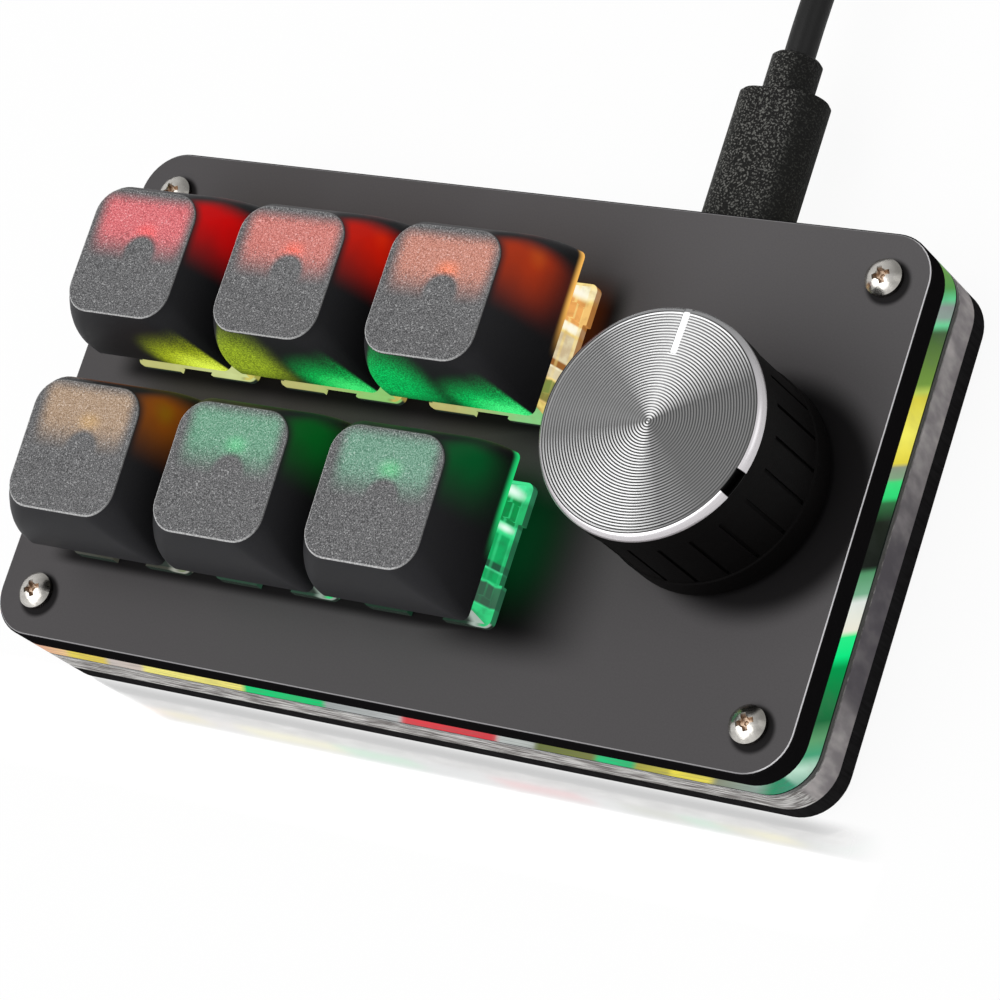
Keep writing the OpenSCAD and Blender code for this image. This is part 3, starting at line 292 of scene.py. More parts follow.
top_sheet, shade = finish(
    "top_sheet", paint(60, 59, 60), 0.5, Specular_IOR_Level=0, Emission_Strength=1
)
at = shade.place()
nx, _, nz = shade.faces()
x, y, z = at.axes()
grain = at.noise(5.0, 3.0)
face = nz.rise(0.9, 0.98)
bevel = nz.rise(0.4, 0.6) * (1 - face) * z.rise(DECK_Z - 0.12, DECK_Z - 0.08)
# Painted light: the face is painted lighter towards the back right.
painted_light_back = (x + 1.5 * y).rise(0, 70)
near, away = ((81, 79, 80), (89, 87, 88)), ((90, 88, 89), (98, 96, 97))
tone = grain.mix(*[painted_light_back.mix(paint(*a), paint(*b)) for a, b in zip(near, away)])
# Painted shadows: round the knob, to the right of and in front of each row of keys, and round each
# screw.
shadow = 0.9 * (x - (KNOB_X + 4.5)).length(y + 0.7).rise(14.3, 10.8)
past_keys = x - (KEY_X[2] + FLANGE_R)
for row, reach, gap in ((KEY_Y[0], 4.5, 2.2), (KEY_Y[1], 13.0, 1.4)):
    level = y - row
    beside = past_keys.rise(reach, 1.5) * x.rise(3.0, 11.0) * abs(level + 0.8).rise(11.0, 6.0)
    ahead = abs(x - KEY_X[1]).rise(31.0, 27.0) * level.rise(0, -1)
    ahead = ahead * level.rise(-FLANGE_R - gap, -FLANGE_R - 0.1)
    shadow = shadow.math("MAXIMUM", 0.95 * beside).math("MAXIMUM", 0.85 * ahead)
screw = (abs(x - 0.45) - SCREW_X).length(abs(y + 0.35) - SCREW_Y).rise(2.7, 2.1)
shadow = shadow.math("MAXIMUM", 0.85 * screw)
tone = shadow.mix(tone, paint(12, 11, 12))
# Painted highlight: the bevel is painted near white, brighter on the faces turned to the right.
edge = bevel * (0.4 + 0.6 * nx.rise(0.1, 0.5))
tone = edge.mix(face.mix(paint(20, 19, 20), tone), paint(230, 228, 230))
tone.into("Base Color")
# Painted light: pools of green and amber light from the keys' lamps, as a glow on the face beside
# the keys.
painted_green_light = past_keys.rise(7.5, 0) * x.rise(6, 11) * abs(y + 9.0).rise(10.0, 1.0) * face * 0.35
painted_amber_light = past_keys.rise(2.5, 0) * x.rise(6, 11) * abs(y - 14.0).rise(7.0, 2.0) * face * 0.3
glow = painted_amber_light.mix(painted_green_light.mix((0, 0, 0), paint(0, 80, 38)), paint(96, 40, 6))
glow.into("Emission Color")
(0.22 + 0.3 * face + 0.1 * grain * face).into("Roughness")
grain.bump(0.006)
dress(top_sheet, "top_plate")

bottom_sheet, shade = finish("bottom_sheet", paint(22, 21, 22), 0.4, Specular_IOR_Level=0)
at = shade.place()
side = 1 - abs(shade.faces()[2]).rise(0.6, 0.9)
streaks = at.stretch(1, 1, 0.1).noise(3.0)
(side * streaks).mix(paint(20, 19, 20), paint(44, 43, 44)).into("Base Color")
(0.3 + 0.2 * streaks).into("Roughness")
at.noise(5.0, 3.0).bump(0.006)
dress(bottom_sheet, "bottom_plate")

# ---- Clear layers ----
# Two clear acrylic frames stand between the sheets and the board. Lights on the board shine
# out through the upper one in bands of colour; laser cutting left fine streaks on the edges.
LIGHT_Z = 10.3
RIGHT_BANDS = [
    (-28.5, (70, 150, 125)), (-25.5, (190, 225, 205)), (-24.0, (70, 160, 120)),
    (-22.4, (95, 160, 110)), (-20.5, (30, 105, 60)), (-15.0, (0, 150, 75)),
    (-13.8, (0, 235, 130)), (-11.8, (40, 235, 135)), (-11.2, (235, 232, 215)),
    (-8.2, (225, 232, 225)), (-7.4, (120, 175, 140)), (-5.2, (85, 150, 105)),
    (-4.6, (26, 30, 26)), (0.2, (30, 36, 28)), (2.2, (50, 110, 65)), (2.8, (45, 220, 120)),
    (4.4, (60, 225, 125)), (4.8, (130, 165, 130)), (6.0, (140, 150, 130)),
    (6.4, (230, 215, 70)), (9.5, (245, 238, 100)), (13.4, (215, 205, 70)),
    (14.0, (190, 210, 90)), (14.8, (115, 150, 65)), (20.4, (68, 98, 58)),
    (21.2, (110, 215, 155)), (22.0, (140, 160, 150)), (23.2, (140, 150, 146)),
    (24.0, (100, 205, 145)), (25.2, (85, 150, 78)), (28.5, (120, 160, 75)),
]
FRONT_BANDS = [
    (-49.2, (120, 90, 80)), (-45.0, (235, 180, 150)), (-41.8, (240, 200, 150)),
    (-41.0, (235, 215, 90)), (-36.4, (230, 205, 90)), (-35.6, (200, 190, 185)),
    (-31.4, (215, 200, 190)), (-30.8, (250, 240, 135)), (-18.0, (246, 234, 125)),
    (-17.4, (20, 212, 122)), (-7.6, (20, 204, 116)), (-7.0, (165, 170, 170)),
    (2.2, (190, 192, 192)), (2.8, (228, 70, 78)), (13.8, (218, 60, 70)),
    (14.4, (195, 200, 198)), (18.4, (185, 190, 186)), (19.0, (110, 120, 60)),
    (25.6, (125, 130, 70)), (26.3, (40, 205, 130)), (30.2, (50, 190, 120)),
    (30.8, (175, 170, 70)), (34.2, (195, 185, 80)), (34.8, (240, 225, 80)),
    (39.0, (235, 220, 90)), (39.8, (140, 145, 125)), (44.2, (150, 170, 160)),
    (46.0, (40, 150, 105)), (49.2, (70, 150, 125)),
]
BACK_BANDS = [
    (-49.2, (110, 120, 120)), (-42.0, (200, 60, 50)), (-34.0, (215, 90, 60)),
    (-33.2, (190, 190, 186)), (-26.0, (200, 200, 196)), (-25.2, (230, 190, 90)),
    (-12.0, (235, 200, 100)), (-11.2, (185, 190, 186)), (-3.0, (190, 196, 190)),
    (-2.2, (30, 170, 90)), (10.0, (40, 185, 100)), (10.8, (180, 186, 182)),
    (30.0, (175, 182, 180)), (30.8, (220, 215, 90)), (41.0, (190, 200, 100)),
    (49.2, (120, 150, 145)),
]


def bands(along, half, stops):
    """Colours from stops along a side, each given at its distance from the middle."""
    stops = [((at + half) / (2 * half), paint(*screen)) for at, screen in stops]
    share = along * (0.5 / half) + 0.5
    return share.node("ValToRGB", {"stops": stops}, {0: share})


def clear_frame(name, glow):
    """Clear acrylic with streaked edges, which shine in bands if there is a glow."""
    material, shade = finish(name, paint(96, 96, 98), 0.2, Specular_IOR_Level=0)
    at = shade.place()
    nx, ny, _ = shade.faces()
    x, y, z = at.axes()
    side = abs(nx).rise(0.65, 0.75)
    flat = at.stretch(0.25, 1, 2.6).noise(1.2, 4.0).rise(0.38, 0.66)
    ends = y.rise(-4, 13) + y.rise(-17, -20)
    tall = at.stretch(1, 0.32, 0.16).noise(1.3, 3.0).rise(0.36, 0.78) * (0.15 + 0.55 * ends)
    lines = tall * side + flat * (1 - side)
    if glow:
        right = bands(y + 0.44 * (z - LIGHT_Z), PLATE_Y, RIGHT_BANDS)
        front = bands(x - 0.6 * (z - LIGHT_Z), PLATE_X, FRONT_BANDS)
        back = bands(x, PLATE_X, BACK_BANDS)
        light = side.mix(ny.rise(-0.1, 0.1).mix(front, back), right)
        light = (0.35 * lines).mix(light, (0, 0, 0))
        light.into("Emission Color")
        tone = lines.mix(paint(12, 13, 13), paint(70, 74, 72))
        material.node_tree.nodes["Principled BSDF"].inputs["Emission Strength"].default_value = 1
    else:
        # Painted reflections: the unlit frame is painted silver grey, its left and right edges
        # lighter towards the back and the front.
        tone = ends.mix(paint(100, 96, 101), paint(146, 141, 143))
        tone = side.mix(paint(124, 120, 118), tone)
        tone = lines.mix(tone, side.mix(paint(226, 224, 222), paint(214, 208, 206)))
    tone.into("Base Color")
    (0.15 + 0.25 * lines).into("Roughness")
    lines.bump(0.02)
    return material


dress(clear_frame("lit_clear_sheet", True), "upper_spacer")
dress(clear_frame("clear_sheet", False), "lower_spacer")

# ---- Circuit board and its parts ----
# A thin glass-fibre board with a black solder mask. A chip, small ceramic parts and white
# light-emitting diodes are soldered to it.
board, shade = finish("circuit_board", paint(16, 20, 18), 0.35)
at = shade.place()
x, y, _ = at.axes()
nz = shade.faces()[2]
tracks = ((x + y) * 1.6).math("SINE").rise(0.7, 0.85) * at.noise(0.15).rise(0.5, 0.55)
tone = tracks.mix(paint(14, 17, 16), paint(26, 36, 30))
abs(nz).rise(0.4, 0.6).mix(paint(34, 34, 28), tone).into("Base Color")
(0.3 + 0.2 * at.noise(1.0)).into("Roughness")
dress(board, "circuit_board")

chip, shade = finish("chip_plastic", paint(34, 34, 36), 0.55)
at = shade.place()
at.noise(9.0).mix(paint(28, 28, 30), paint(42, 42, 44)).into("Base Color")
at.noise(9.0).bump(0.01)
dress(chip, "controller_chip")

ceramic, shade = finish("chip_ceramic", paint(176, 160, 128), 0.4)
at = shade.place()
at.noise(1.2).mix(paint(150, 132, 100), paint(196, 180, 150)).into("Base Color")
dress(ceramic, "board_components")

diode, shade = finish("led_white", paint(235, 232, 220), 0.3, Emission_Strength=1)
at = shade.place()
at.noise(2.0).mix(paint(225, 220, 200), paint(245, 244, 238)).into("Base Color")
lens = shade.faces()[2].rise(0.5, 0.9)
lens.mix((0, 0, 0), paint(230, 235, 220)).into("Emission Color")
dress(diode, "key_leds", "edge_leds")

# ---- Screws, standoffs and feet ----
# Stainless pan-head screws with a cross recess clamp the sheets to turned brass standoffs.
# Four soft rubber feet are glued under the bottom sheet.
HEAD_TOP_Z = 16.6
DOME_R = 2.8

steel, shade = finish("screw_steel", paint(205, 202, 197), 0.2, Metallic=1)
at = shade.place()
x, y, z = at.axes()
nx, ny, _ = shade.faces()
r2 = (abs(x) - SCREW_X) ** 2 + (abs(y) - SCREW_Y) ** 2
dome = (DOME_R * DOME_R - r2).math("MAXIMUM", 0.01) ** 0.5 + (HEAD_TOP_Z - DOME_R)
recess = (dome - z).rise(0.06, 0.3) * z.rise(15.6, 15.7) * r2.rise(2.6, 2.2)
patches = at.noise(1.6, 3.0)
tone = patches.mix(paint(158, 155, 149), paint(206, 203, 198))
# Painted shade: each head is painted darker on its side turned to the back right, away from the
# lamp.
tone = (0.75 * (nx + 0.6 * ny).rise(0.1, 0.8)).mix(tone, paint(84, 82, 78))
recess.mix(tone, paint(164, 143, 124)).into("Base Color")
(0.16 + 0.16 * patches + 0.2 * recess).into("Roughness")
at.noise(3.0).bump(0.01)
dress(steel, "top_screws", "bottom_screws")

brass, shade = finish("brass_standoff", paint(196, 160, 84), 0.3, Metallic=1)
at = shade.place()
cuts = at.stretch(0.3, 0.3, 6).noise(2.0)
cuts.mix(paint(180, 142, 70), paint(208, 174, 98)).into("Base Color")
(0.2 + 0.2 * at.stretch(0.3, 0.3, 8).noise(2.0)).into("Roughness")
dress(brass, "standoffs")

rubber, shade = finish("foot_rubber", paint(40, 40, 41), 0.8)
at = shade.place()
at.noise(2.0).mix(paint(34, 34, 35), paint(50, 50, 50)).into("Base Color")
at.noise(4.0).bump(0.03)
dress(rubber, "rubber_feet")

# ---- Key switches ----
# Each switch is a clear moulded body and lid that a light shines up through, a milky slider,
# a wound steel spring and a pair of brass contacts.
KEYS = range(1, 7)
GLARE = {i: (1.0, 0.95, 0.8) if i <= 4 else (0.8, 1.0, 0.88) for i in KEYS}


def key_centre(i):
    """Keys 1 to 3 stand in the back row and 4 to 6 in the front row, from left to right."""
    return KEY_X[(i - 1) % 3], KEY_Y[(i - 1) // 3]


def blob(u, v, centre, reach):
    """1 at the centre of a round patch, falling smoothly to 0 at that reach."""
    return (u - centre[0]).length(v - centre[1]).rise(reach, 0)


def housing_finish(i, hot, line, upper, middle, lower, foot, dim, front):
    """Clear plastic lit from inside: panes between bright ledges, from its back to its front."""
    cx, cy = key_centre(i)
    material, shade = finish(
        f"clear_housing_{i}", paint(60, 62, 60), 0.2, Specular_IOR_Level=0.1, Emission_Strength=1
    )
    at = shade.place()
    x, y, z = at.axes()
    nx, ny, _ = shade.faces()
    along = y - cy
    height = z - DECK_Z
    light = bands(along, FLANGE_R, [
        (-7.8, foot), (-6.1, foot), (-5.95, line), (-5.75, lower), (-3.7, lower), (-3.5, line),
        (-3.2, middle), (-2.3, middle), (-2.1, hot), (-1.95, dim), (-1.4, dim), (-1.2, middle),
        (1.5, middle), (1.8, line), (2.1, hot), (2.8, hot), (3.0, upper), (5.4, upper),
        (5.8, line), (6.2, hot), (7.0, hot), (7.8, line),
    ])
    line, dim, front = paint(*line), paint(*dim), paint(*front)
    ledge = abs(height - 2.5).rise(0.3, 0.05) + abs(height - 1.1).rise(0.2, 0.05)
    light = (ledge * along.rise(-7, 2) * 0.6).mix(light, line)
    flange = height.rise(1.0, 0.9)
    light = (flange * 0.7).mix(light, dim)
    cloud = at.noise(0.8, 3.0)
    light = (cloud.rise(0.4, 0.7) * 0.35).mix(light, dim)
    light = (nx.rise(0.5, 0.8) * flange * 0.6).mix(light, dim)
    bright = blob(x - cx, along, (6.6, 6.2), 0.9) + blob(x - cx, along, (6.8, 2.4), 0.6)
    light = bright.mix(light, GLARE[i])
    if i <= 3:
        front = x.rise(cx - 6.0, cx + 5.0).mix(paint(192, 192, 122), front)
        front = (0.4 * cloud).mix(front, dim)
    # Painted shade: the glow is painted out in a dark band just behind the flange's front edge.
    lip = along.rise(-6.5, -6.9) * x.rise(cx + 7, cx + 6)
    light = lip.mix(light, (0.005, 0.01, 0.007))
    lip = lip * along.rise(-7.2, -7.35)
    if i > 3:
        dim_in_painted_shade = [0.3 * c for c in dim]
        light = lip.mix(light, x.rise(cx + 5.0, cx + 6.0).mix(dim_in_painted_shade, front))
    else:
        light = lip.mix(light, front)
    light = (nx * -1).rise(0.3, 0.6).mix(light, dim)
    light = (ny.rise(0.3, 0.6) * 0.75).mix(light, dim)
    # Painted shade: the flange's front face is painted dark along its lower half, and in the front
    # row left of its right corner.
    ahead = (ny * -1).rise(0.3, 0.6) * along.rise(-6.7, -6.9)
    clear_of_painted_shade = height.rise(0.4, 0.7) * (x.rise(cx + 5.2, cx + 6.2) if i > 3 else 1)
    front = clear_of_painted_shade.mix((0.012, 0.02, 0.015), front)
    ahead.mix(light, front).into("Emission Color")
    cloud.mix(paint(30, 32, 30), paint(60, 64, 61)).into("Base Color")
    cloud.bump(0.03)
    return material


HOUSING_LIGHT = {
    1: ((255, 235, 200), (240, 190, 110), (215, 130, 70), (170, 150, 110), (90, 110, 50),
        (205, 195, 100), (150, 150, 70), (206, 218, 150)),
    2: ((255, 235, 200), (240, 190, 110), (215, 130, 70), (170, 150, 110), (90, 110, 50),
        (205, 195, 100), (140, 120, 60), (140, 210, 120)),
    3: ((255, 250, 215), (252, 224, 140), (236, 168, 92), (222, 208, 170), (124, 140, 70),
        (236, 214, 122), (150, 96, 44), (130, 215, 140)),
    4: ((220, 215, 190), (170, 170, 140), (120, 100, 60), (90, 92, 70), (60, 70, 45),
        (120, 130, 100), (100, 100, 88), (150, 152, 142)),
    5: ((190, 255, 215), (60, 200, 130), (15, 130, 65), (30, 190, 110), (60, 100, 75),
        (50, 205, 120), (60, 110, 85), (142, 160, 148)),
    6: ((80, 236, 160), (60, 222, 140), (12, 142, 70), (20, 170, 95), (56, 92, 72),
        (50, 205, 125), (34, 84, 60), (160, 176, 166)),
}
for i, colours in HOUSING_LIGHT.items():
    dress(housing_finish(i, *colours), f"switch_lid_{i}", f"switch_base_{i}")

acetal, shade = finish("milky_stem", paint(226, 226, 220), 0.35, Subsurface_Weight=0.2)
at = shade.place()
at.noise(0.8).mix(paint(214, 214, 206), paint(234, 234, 229)).into("Base Color")
at.noise(5.0).bump(0.01)
dress(acetal, *[f"switch_stem_{i}" for i in KEYS], "encoder_rotor")

spring_steel, shade = finish("spring_steel", paint(190, 184, 168), 0.3, Metallic=1)
at = shade.place()
(0.22 + 0.2 * at.noise(6.0)).into("Roughness")
at.noise(2.0).mix(paint(176, 168, 150), paint(206, 200, 188)).into("Base Color")
dress(spring_steel, "encoder_dome")


def mesh_piece(name, bm, material):
    """Makes an object of this mesh and material."""
    mesh = bpy.data.meshes.new(name)
    bm.to_mesh(mesh)
    bm.free()
    mesh.materials.append(material)
    piece = bpy.data.objects.new(name, mesh)
    bpy.context.scene.collection.objects.link(piece)
    return piece


for i in KEYS:
    bm = bmesh.new()
    bm.from_mesh(nodes[f"switch_spring_{i}"].data)
    bmesh.ops.remove_doubles(bm, verts=bm.verts, dist=1e-6)
    for face in bm.faces:
        face.smooth = True
    spring = mesh_piece(f"spring_{i}", bm, spring_steel)
    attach(spring, "case")
    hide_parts(f"switch_spring_{i}")
    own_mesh(spring)

contact, shade = finish("contact_brass", paint(212, 178, 96), 0.3, Metallic=1)
at = shade.place()
at.noise(2.0).mix(paint(196, 158, 76), paint(224, 192, 116)).into("Base Color")
dress(contact, "switch_contacts")

# ---- Keycaps ----
# Caps moulded in smoked, slightly see-through plastic, matt on all sides and finely grained
# on the dished top. The light under each one shows through its top and its walls, round the
# shadow of the switch's stem.
CAP_Z = 22.15
CAP_BASE = 9.05
CAP_WALL = 1.3
CAP_ROOF = 1.7
# The walls end at this share of a cap's rise, where its narrow rounded edge starts.
CROWN = 0.955
BRIM_R = 3.09
DISH = 0.45
# The post inside, and half the width and depth of both arms of the cross-shaped socket.
POST_R = 2.75
POST_LOW = -0.35
SOCKET_TOP = 3.35
CROSS_ARMS = (2.04, 0.625), (0.695, 2.04)
CAP_SHAPES = {
    "back": dict(rise=11.0, half_w=6.3, half_d=6.9, shift=-1.1, slope=0.0),
    "front": dict(rise=9.4, half_w=6.65, half_d=6.9, shift=-0.5, slope=0.0349),
}
ARC_STEPS = 8
EDGE_STEPS = 6
WALL_STEPS = 17

CAP_LIGHT = {
    1: dict(top=(203, 50, 60), hot=(236, 20, 25), wall=(185, 4, 4), patch=(185, 4, 4),
            left=(0, 0, 0), right=(168, 184, 26), edge=(0, 0, 0)),
    2: dict(top=(190, 78, 58), hot=(236, 70, 20), wall=(178, 20, 3), patch=(190, 30, 3),
            left=(140, 162, 34), right=(0, 176, 76), edge=(0, 0, 0)),
    3: dict(top=(182, 98, 66), hot=(235, 105, 25), wall=(158, 46, 12), patch=(166, 62, 16),
            left=(0, 175, 82), right=(0, 190, 88), edge=(255, 190, 90)),
    4: dict(top=(150, 115, 74), hot=(180, 135, 60), wall=(116, 60, 4), patch=(112, 74, 4),
            left=(0, 0, 0), right=(0, 0, 0), edge=(0, 0, 0)),
    5: dict(top=(45, 133, 92), hot=(35, 175, 105), wall=(0, 76, 22), patch=(0, 76, 22),
            left=(0, 0, 0), right=(0, 0, 0), edge=(0, 0, 0)),
    6: dict(top=(56, 130, 97), hot=(45, 178, 105), wall=(0, 74, 32), patch=(0, 74, 32),
            left=(0, 0, 0), right=(0, 0, 0), edge=(30, 215, 118)),
}


def cap_shape(i):
    """The keys further back carry the higher caps."""
    return CAP_SHAPES["back" if i <= 3 else "front"]


def cap_finish(i, top, hot, wall, patch, left, right, edge):
    """Smoked plastic: grain, a painted rim highlight, and light in its top, right and front."""
    cx, cy = key_centre(i)
    shape = cap_shape(i)
    top_z = CROWN * shape["rise"]
    material, shade = finish(
        f"smoked_keycap_{i}", paint(34, 34, 36), 0.55, Emission_Strength=1, Specular_IOR_Level=0.06
    )
    at = shade.place()
    x, y, z = at.axes()
    x, y, z = x - cx, y - cy, z - CAP_Z
    nx, ny, nz = shade.faces()
    level = z - shape["slope"] * y
    brim = level.rise(top_z - 0.02, top_z + 0.04)
    face = nz.rise(0.8, 0.93) * level.rise(top_z - 0.5, top_z - 0.4)
    lit_side = ((nx + ny) * -0.7).rise(-0.5, 0.5)
    # Painted highlight: a thin bright line round the rim, brighter on the side towards the lamp.
    rim_highlight = level.rise(top_z + 0.05, top_z + 0.11) * nz.rise(0.97, 0.9) * (0.3 + 0.7 * lit_side)
    grain = at.noise(7.5, 1.0)
    speck = grain.rise(0.34, 0.68)
    spark = at.noise(6.0, 0.0).rise(0.66, 0.74)

    v = y if i <= 3 else y - 1.0
    cloud = at.noise(0.3, 2.0)
    lobe = v.rise(-2.0, 4.9) * v.rise(7.4, 5.2) * (0.15 + 0.85 * z.rise(1.0, 7.0))
    lobe = lobe * nx.rise(0.3, 0.7) * level.rise(top_z + 0.3, top_z - 0.8)
    lobe = lobe + ny.rise(0.4, 0.8) * abs(x).rise(8, 1) * z.rise(0.5, 3.0) * z.rise(8.5, 5.0)
    lobe = lobe * (0.75 + 0.5 * cloud) * (1 - face) * (1 - brim)
    matt = grain.mix(paint(39, 39, 41), paint(47, 47, 49))
    fleck = at.noise(6.5, 1.0).rise(0.38, 0.66)
    ahead = ny.rise(-0.6, -0.8) * (1 - brim)
    right_wedge = blob(x, z, (5.6, 1.2), 8.0) * x.rise(-1.0, 2.2) * ahead
    left_wedge = blob(x, z, (-5.4, 5.0), 8.4) * x.rise(1.8, -1.4) * ahead
    lit = lobe + right_wedge * float(max(right) > 0) + left_wedge * float(max(left) > 0)
    matt = (0.85 * lit.math("MINIMUM", 1.0)).mix(matt, (0, 0, 0))
    grained = speck.mix(paint(76, 76, 77), paint(130, 130, 131))
    grained = (0.5 * spark).mix(grained, paint(200, 200, 200))
    tone = face.mix(matt, grained)
    tone = (rim_highlight * (0.5 + 0.5 * speck)).mix(tone, paint(205, 205, 205))
    tone.into("Base Color")
    (0.5 + 0.1 * face).into("Roughness")
    (speck * face + 0.2 * grain).bump(0.02)

    stem_y = v + (0.9 if i <= 3 else 1.5)
    post = (x - 0.6).length(stem_y).rise(1.6, 2.5)
    shine = v.rise(-2.2, 2.3) * v.rise(5.8, 3.9) * abs(x - 0.2).rise(6.5, 4.4) * post
    shine = shine * (0.7 + 0.75 * speck)
    above = blob(x * 0.7, v, (0.5, 1.5), 1.5).mix(paint(*top), paint(*hot))
    above = (face * shine).mix((0, 0, 0), above)

    beside = blob(y, z, (5.4, 6.6), 1.8).mix(paint(*wall), paint(*patch))
    beside = lobe.mix(above, beside)
    low = z.rise(1.3, 0) * y.rise(-3.0, 4.0) * nx.rise(0.3, 0.7)
    beside = (low * 0.95).mix(beside, paint(*edge))

    def flecked(colour):
        """Mottled by the grains that catch the light."""
        return fleck.mix([0.55 * c for c in colour], [1.45 * c for c in colour])

    corner = blob(x, z, (7.0, 0.2), 5.5) * (0.6 + 0.8 * fleck)
    hottest = [min(1, 1.9 * c + 0.14 * max(paint(*right))) for c in paint(*right)]
    near = corner.mix(flecked(paint(*right)), hottest)
    glow = (1.3 * right_wedge).mix(beside, near)
    glow = (1.3 * left_wedge).mix(glow, flecked(paint(*left)))
    glow.into("Emission Color")
    return material


def cap_ring(half_w, half_d, radius, shift, height):
    """A ring of points round a rounded rectangle; height gives z from y."""
    points = []
    for corner in range(4):
        side_x, side_y = ((1, 1), (-1, 1), (-1, -1), (1, -1))[corner]
        for step in range(ARC_STEPS + 1):
            a = math.radians(90 * (corner + step / ARC_STEPS))
            points.append((
                side_x * (half_w - radius) + radius * math.cos(a),
                side_y * (half_d - radius) + radius * math.sin(a),
            ))
        start = points[-1]
        end = (start[0], -start[1]) if corner % 2 else (-start[0], start[1])
        for step in range(1, EDGE_STEPS):
            share = step / EDGE_STEPS
            points.append(tuple(p + (q - p) * share for p, q in zip(start, end)))
    return [(x, y + shift, height(y)) for x, y in points]


def grow(bm, rings):
    """Extrudes the first ring to the place of each next one, and closes both ends."""
    verts = [bm.verts.new(at) for at in rings[0]]
    edges = [bm.edges.new((verts[k - 1], verts[k])) for k in range(len(verts))]
    bmesh.ops.edgeloop_fill(bm, edges=edges)
    for ring in rings[1:]:
        made = bmesh.ops.extrude_edge_only(bm, edges=edges)["geom"]
        edges = [e for e in made if isinstance(e, bmesh.types.BMEdge) and e.is_boundary]
        ends = {v for e in edges for v in e.verts}
        for k, vert in enumerate(verts):
            verts[k] = next(v for e in vert.link_edges for v in e.verts if v in ends)
            verts[k].co = ring[k]
    bmesh.ops.edgeloop_fill(bm, edges=edges)


def smooth(bm):
    """Turns the faces outwards, and shades them smooth but for edges above 0.7 radians."""
    bmesh.ops.recalc_face_normals(bm, faces=bm.faces)
    for face in bm.faces:
        face.smooth = True
    for edge in bm.edges:
        edge.smooth = edge.calc_face_angle(0) < 0.7


def cap_post(bm, top):
    """The round post under the roof, with the socket for the stem's cross."""
    inner = (CROSS_ARMS[1][0], CROSS_ARMS[0][1])
    corners = [math.atan2(y, x) for x, y in (*CROSS_ARMS, inner)]
    turns = [k * math.pi / 18 for k in range(36)]
    turns += [q * math.pi + f * a for a in corners for q, f in ((0, 1), (1, -1), (1, 1), (2, -1))]
    angles = sorted({round(a, 4) for a in turns})

    def reach(a):
        c, d = abs(math.cos(a)) + 1e-9, abs(math.sin(a)) + 1e-9
        return max(min(w / c, h / d) for w, h in CROSS_ARMS)

    def ring(z, length):
        return [(length(a) * math.cos(a), length(a) * math.sin(a), z) for a in angles]

    grow(bm, [
        ring(SOCKET_TOP, reach), ring(POST_LOW, reach),
        ring(POST_LOW, lambda a: POST_R), ring(top + 0.3, lambda a: POST_R),
    ])


def moulded_cap(i, rise, half_w, half_d, shift, slope):
    """A hollow cap: curved walls, a narrow rounded edge and a dished top."""
    def halves(t):
        return [CAP_BASE - (CAP_BASE - top) * t ** 2.3 for top in (half_w, half_d)]

    def radius(t):
        return 0.8 + 2.4 * t

    def wall_z(t):
        return lambda y: t * (rise + slope * y)

    def crown_z(up):
        return lambda y: CROWN * rise + up + slope * y

    bm = bmesh.new()
    rings = []
    for t in (1 - CAP_ROOF / rise, 0.7, 0.5, 0.25, 0):
        inner = [half - CAP_WALL for half in halves(t)]
        inner_r = max(0.4, radius(t) - CAP_WALL / 2)
        rings.append(cap_ring(*inner, inner_r, shift * t, wall_z(t)))
    for k in range(WALL_STEPS + 1):
        t = CROWN * k / WALL_STEPS
        rings.append(cap_ring(*halves(t), radius(t), shift * t, wall_z(t)))
    for inwards, up in ((0.05, 0.12), (0.14, 0.2), (0.26, 0.22)):
        brim = [half - inwards for half in halves(CROWN)]
        brim_r = BRIM_R - inwards
        rings.append(cap_ring(*brim, brim_r, shift * CROWN, crown_z(up)))
    for share in (0.97, 0.9, 0.78, 0.64, 0.5, 0.35, 0.2):
        dish = [half * share for half in brim]
        dish_z = crown_z(up - DISH * (1 - share * share))
        rings.append(cap_ring(*dish, brim_r * share, shift * CROWN, dish_z))
    grow(bm, rings)
    cap_post(bm, rise - CAP_ROOF)
    cx, cy = key_centre(i)
    for vert in bm.verts:
        vert.co = ((vert.co.x + cx) / 1000, (vert.co.y + cy) / 1000, (vert.co.z + CAP_Z) / 1000)
    smooth(bm)
    return bm


for i, light in CAP_LIGHT.items():
    cap = mesh_piece(f"cap_{i}", moulded_cap(i, **cap_shape(i)), cap_finish(i, **light))
    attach(cap, f"key_{i}")
    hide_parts(f"keycap_{i}")

# ---- Encoder ----
# A rotary encoder under the knob: a black moulded base, a die-cast zinc cover with its bush,
# and an aluminium shaft.
moulded, shade = finish("encoder_plastic", paint(30, 30, 31), 0.5)
at = shade.place()
at.noise(4.0).mix(paint(24, 24, 25), paint(38, 38, 39)).into("Base Color")
at.noise(6.0).bump(0.01)
dress(moulded, "encoder_base")

zinc, shade = finish("zinc_casting", paint(168, 168, 170), 0.4, Metallic=1)
at = shade.place()
at.noise(1.5).mix(paint(150, 150, 153), paint(182, 182, 184)).into("Base Color")
(0.3 + 0.25 * at.noise(2.5)).into("Roughness")
dress(zinc, "encoder_frame")

shaft, shade = finish("shaft_aluminium", paint(200, 200, 203), 0.3, Metallic=1)
at = shade.place()
(0.2 + 0.25 * at.stretch(0.3, 0.3, 8).noise(2.0)).into("Roughness")
cuts = at.stretch(0.3, 0.3, 5).noise(2.0)
cuts.mix(paint(186, 186, 190), paint(212, 212, 214)).into("Base Color")
dress(shaft, "encoder_shaft")

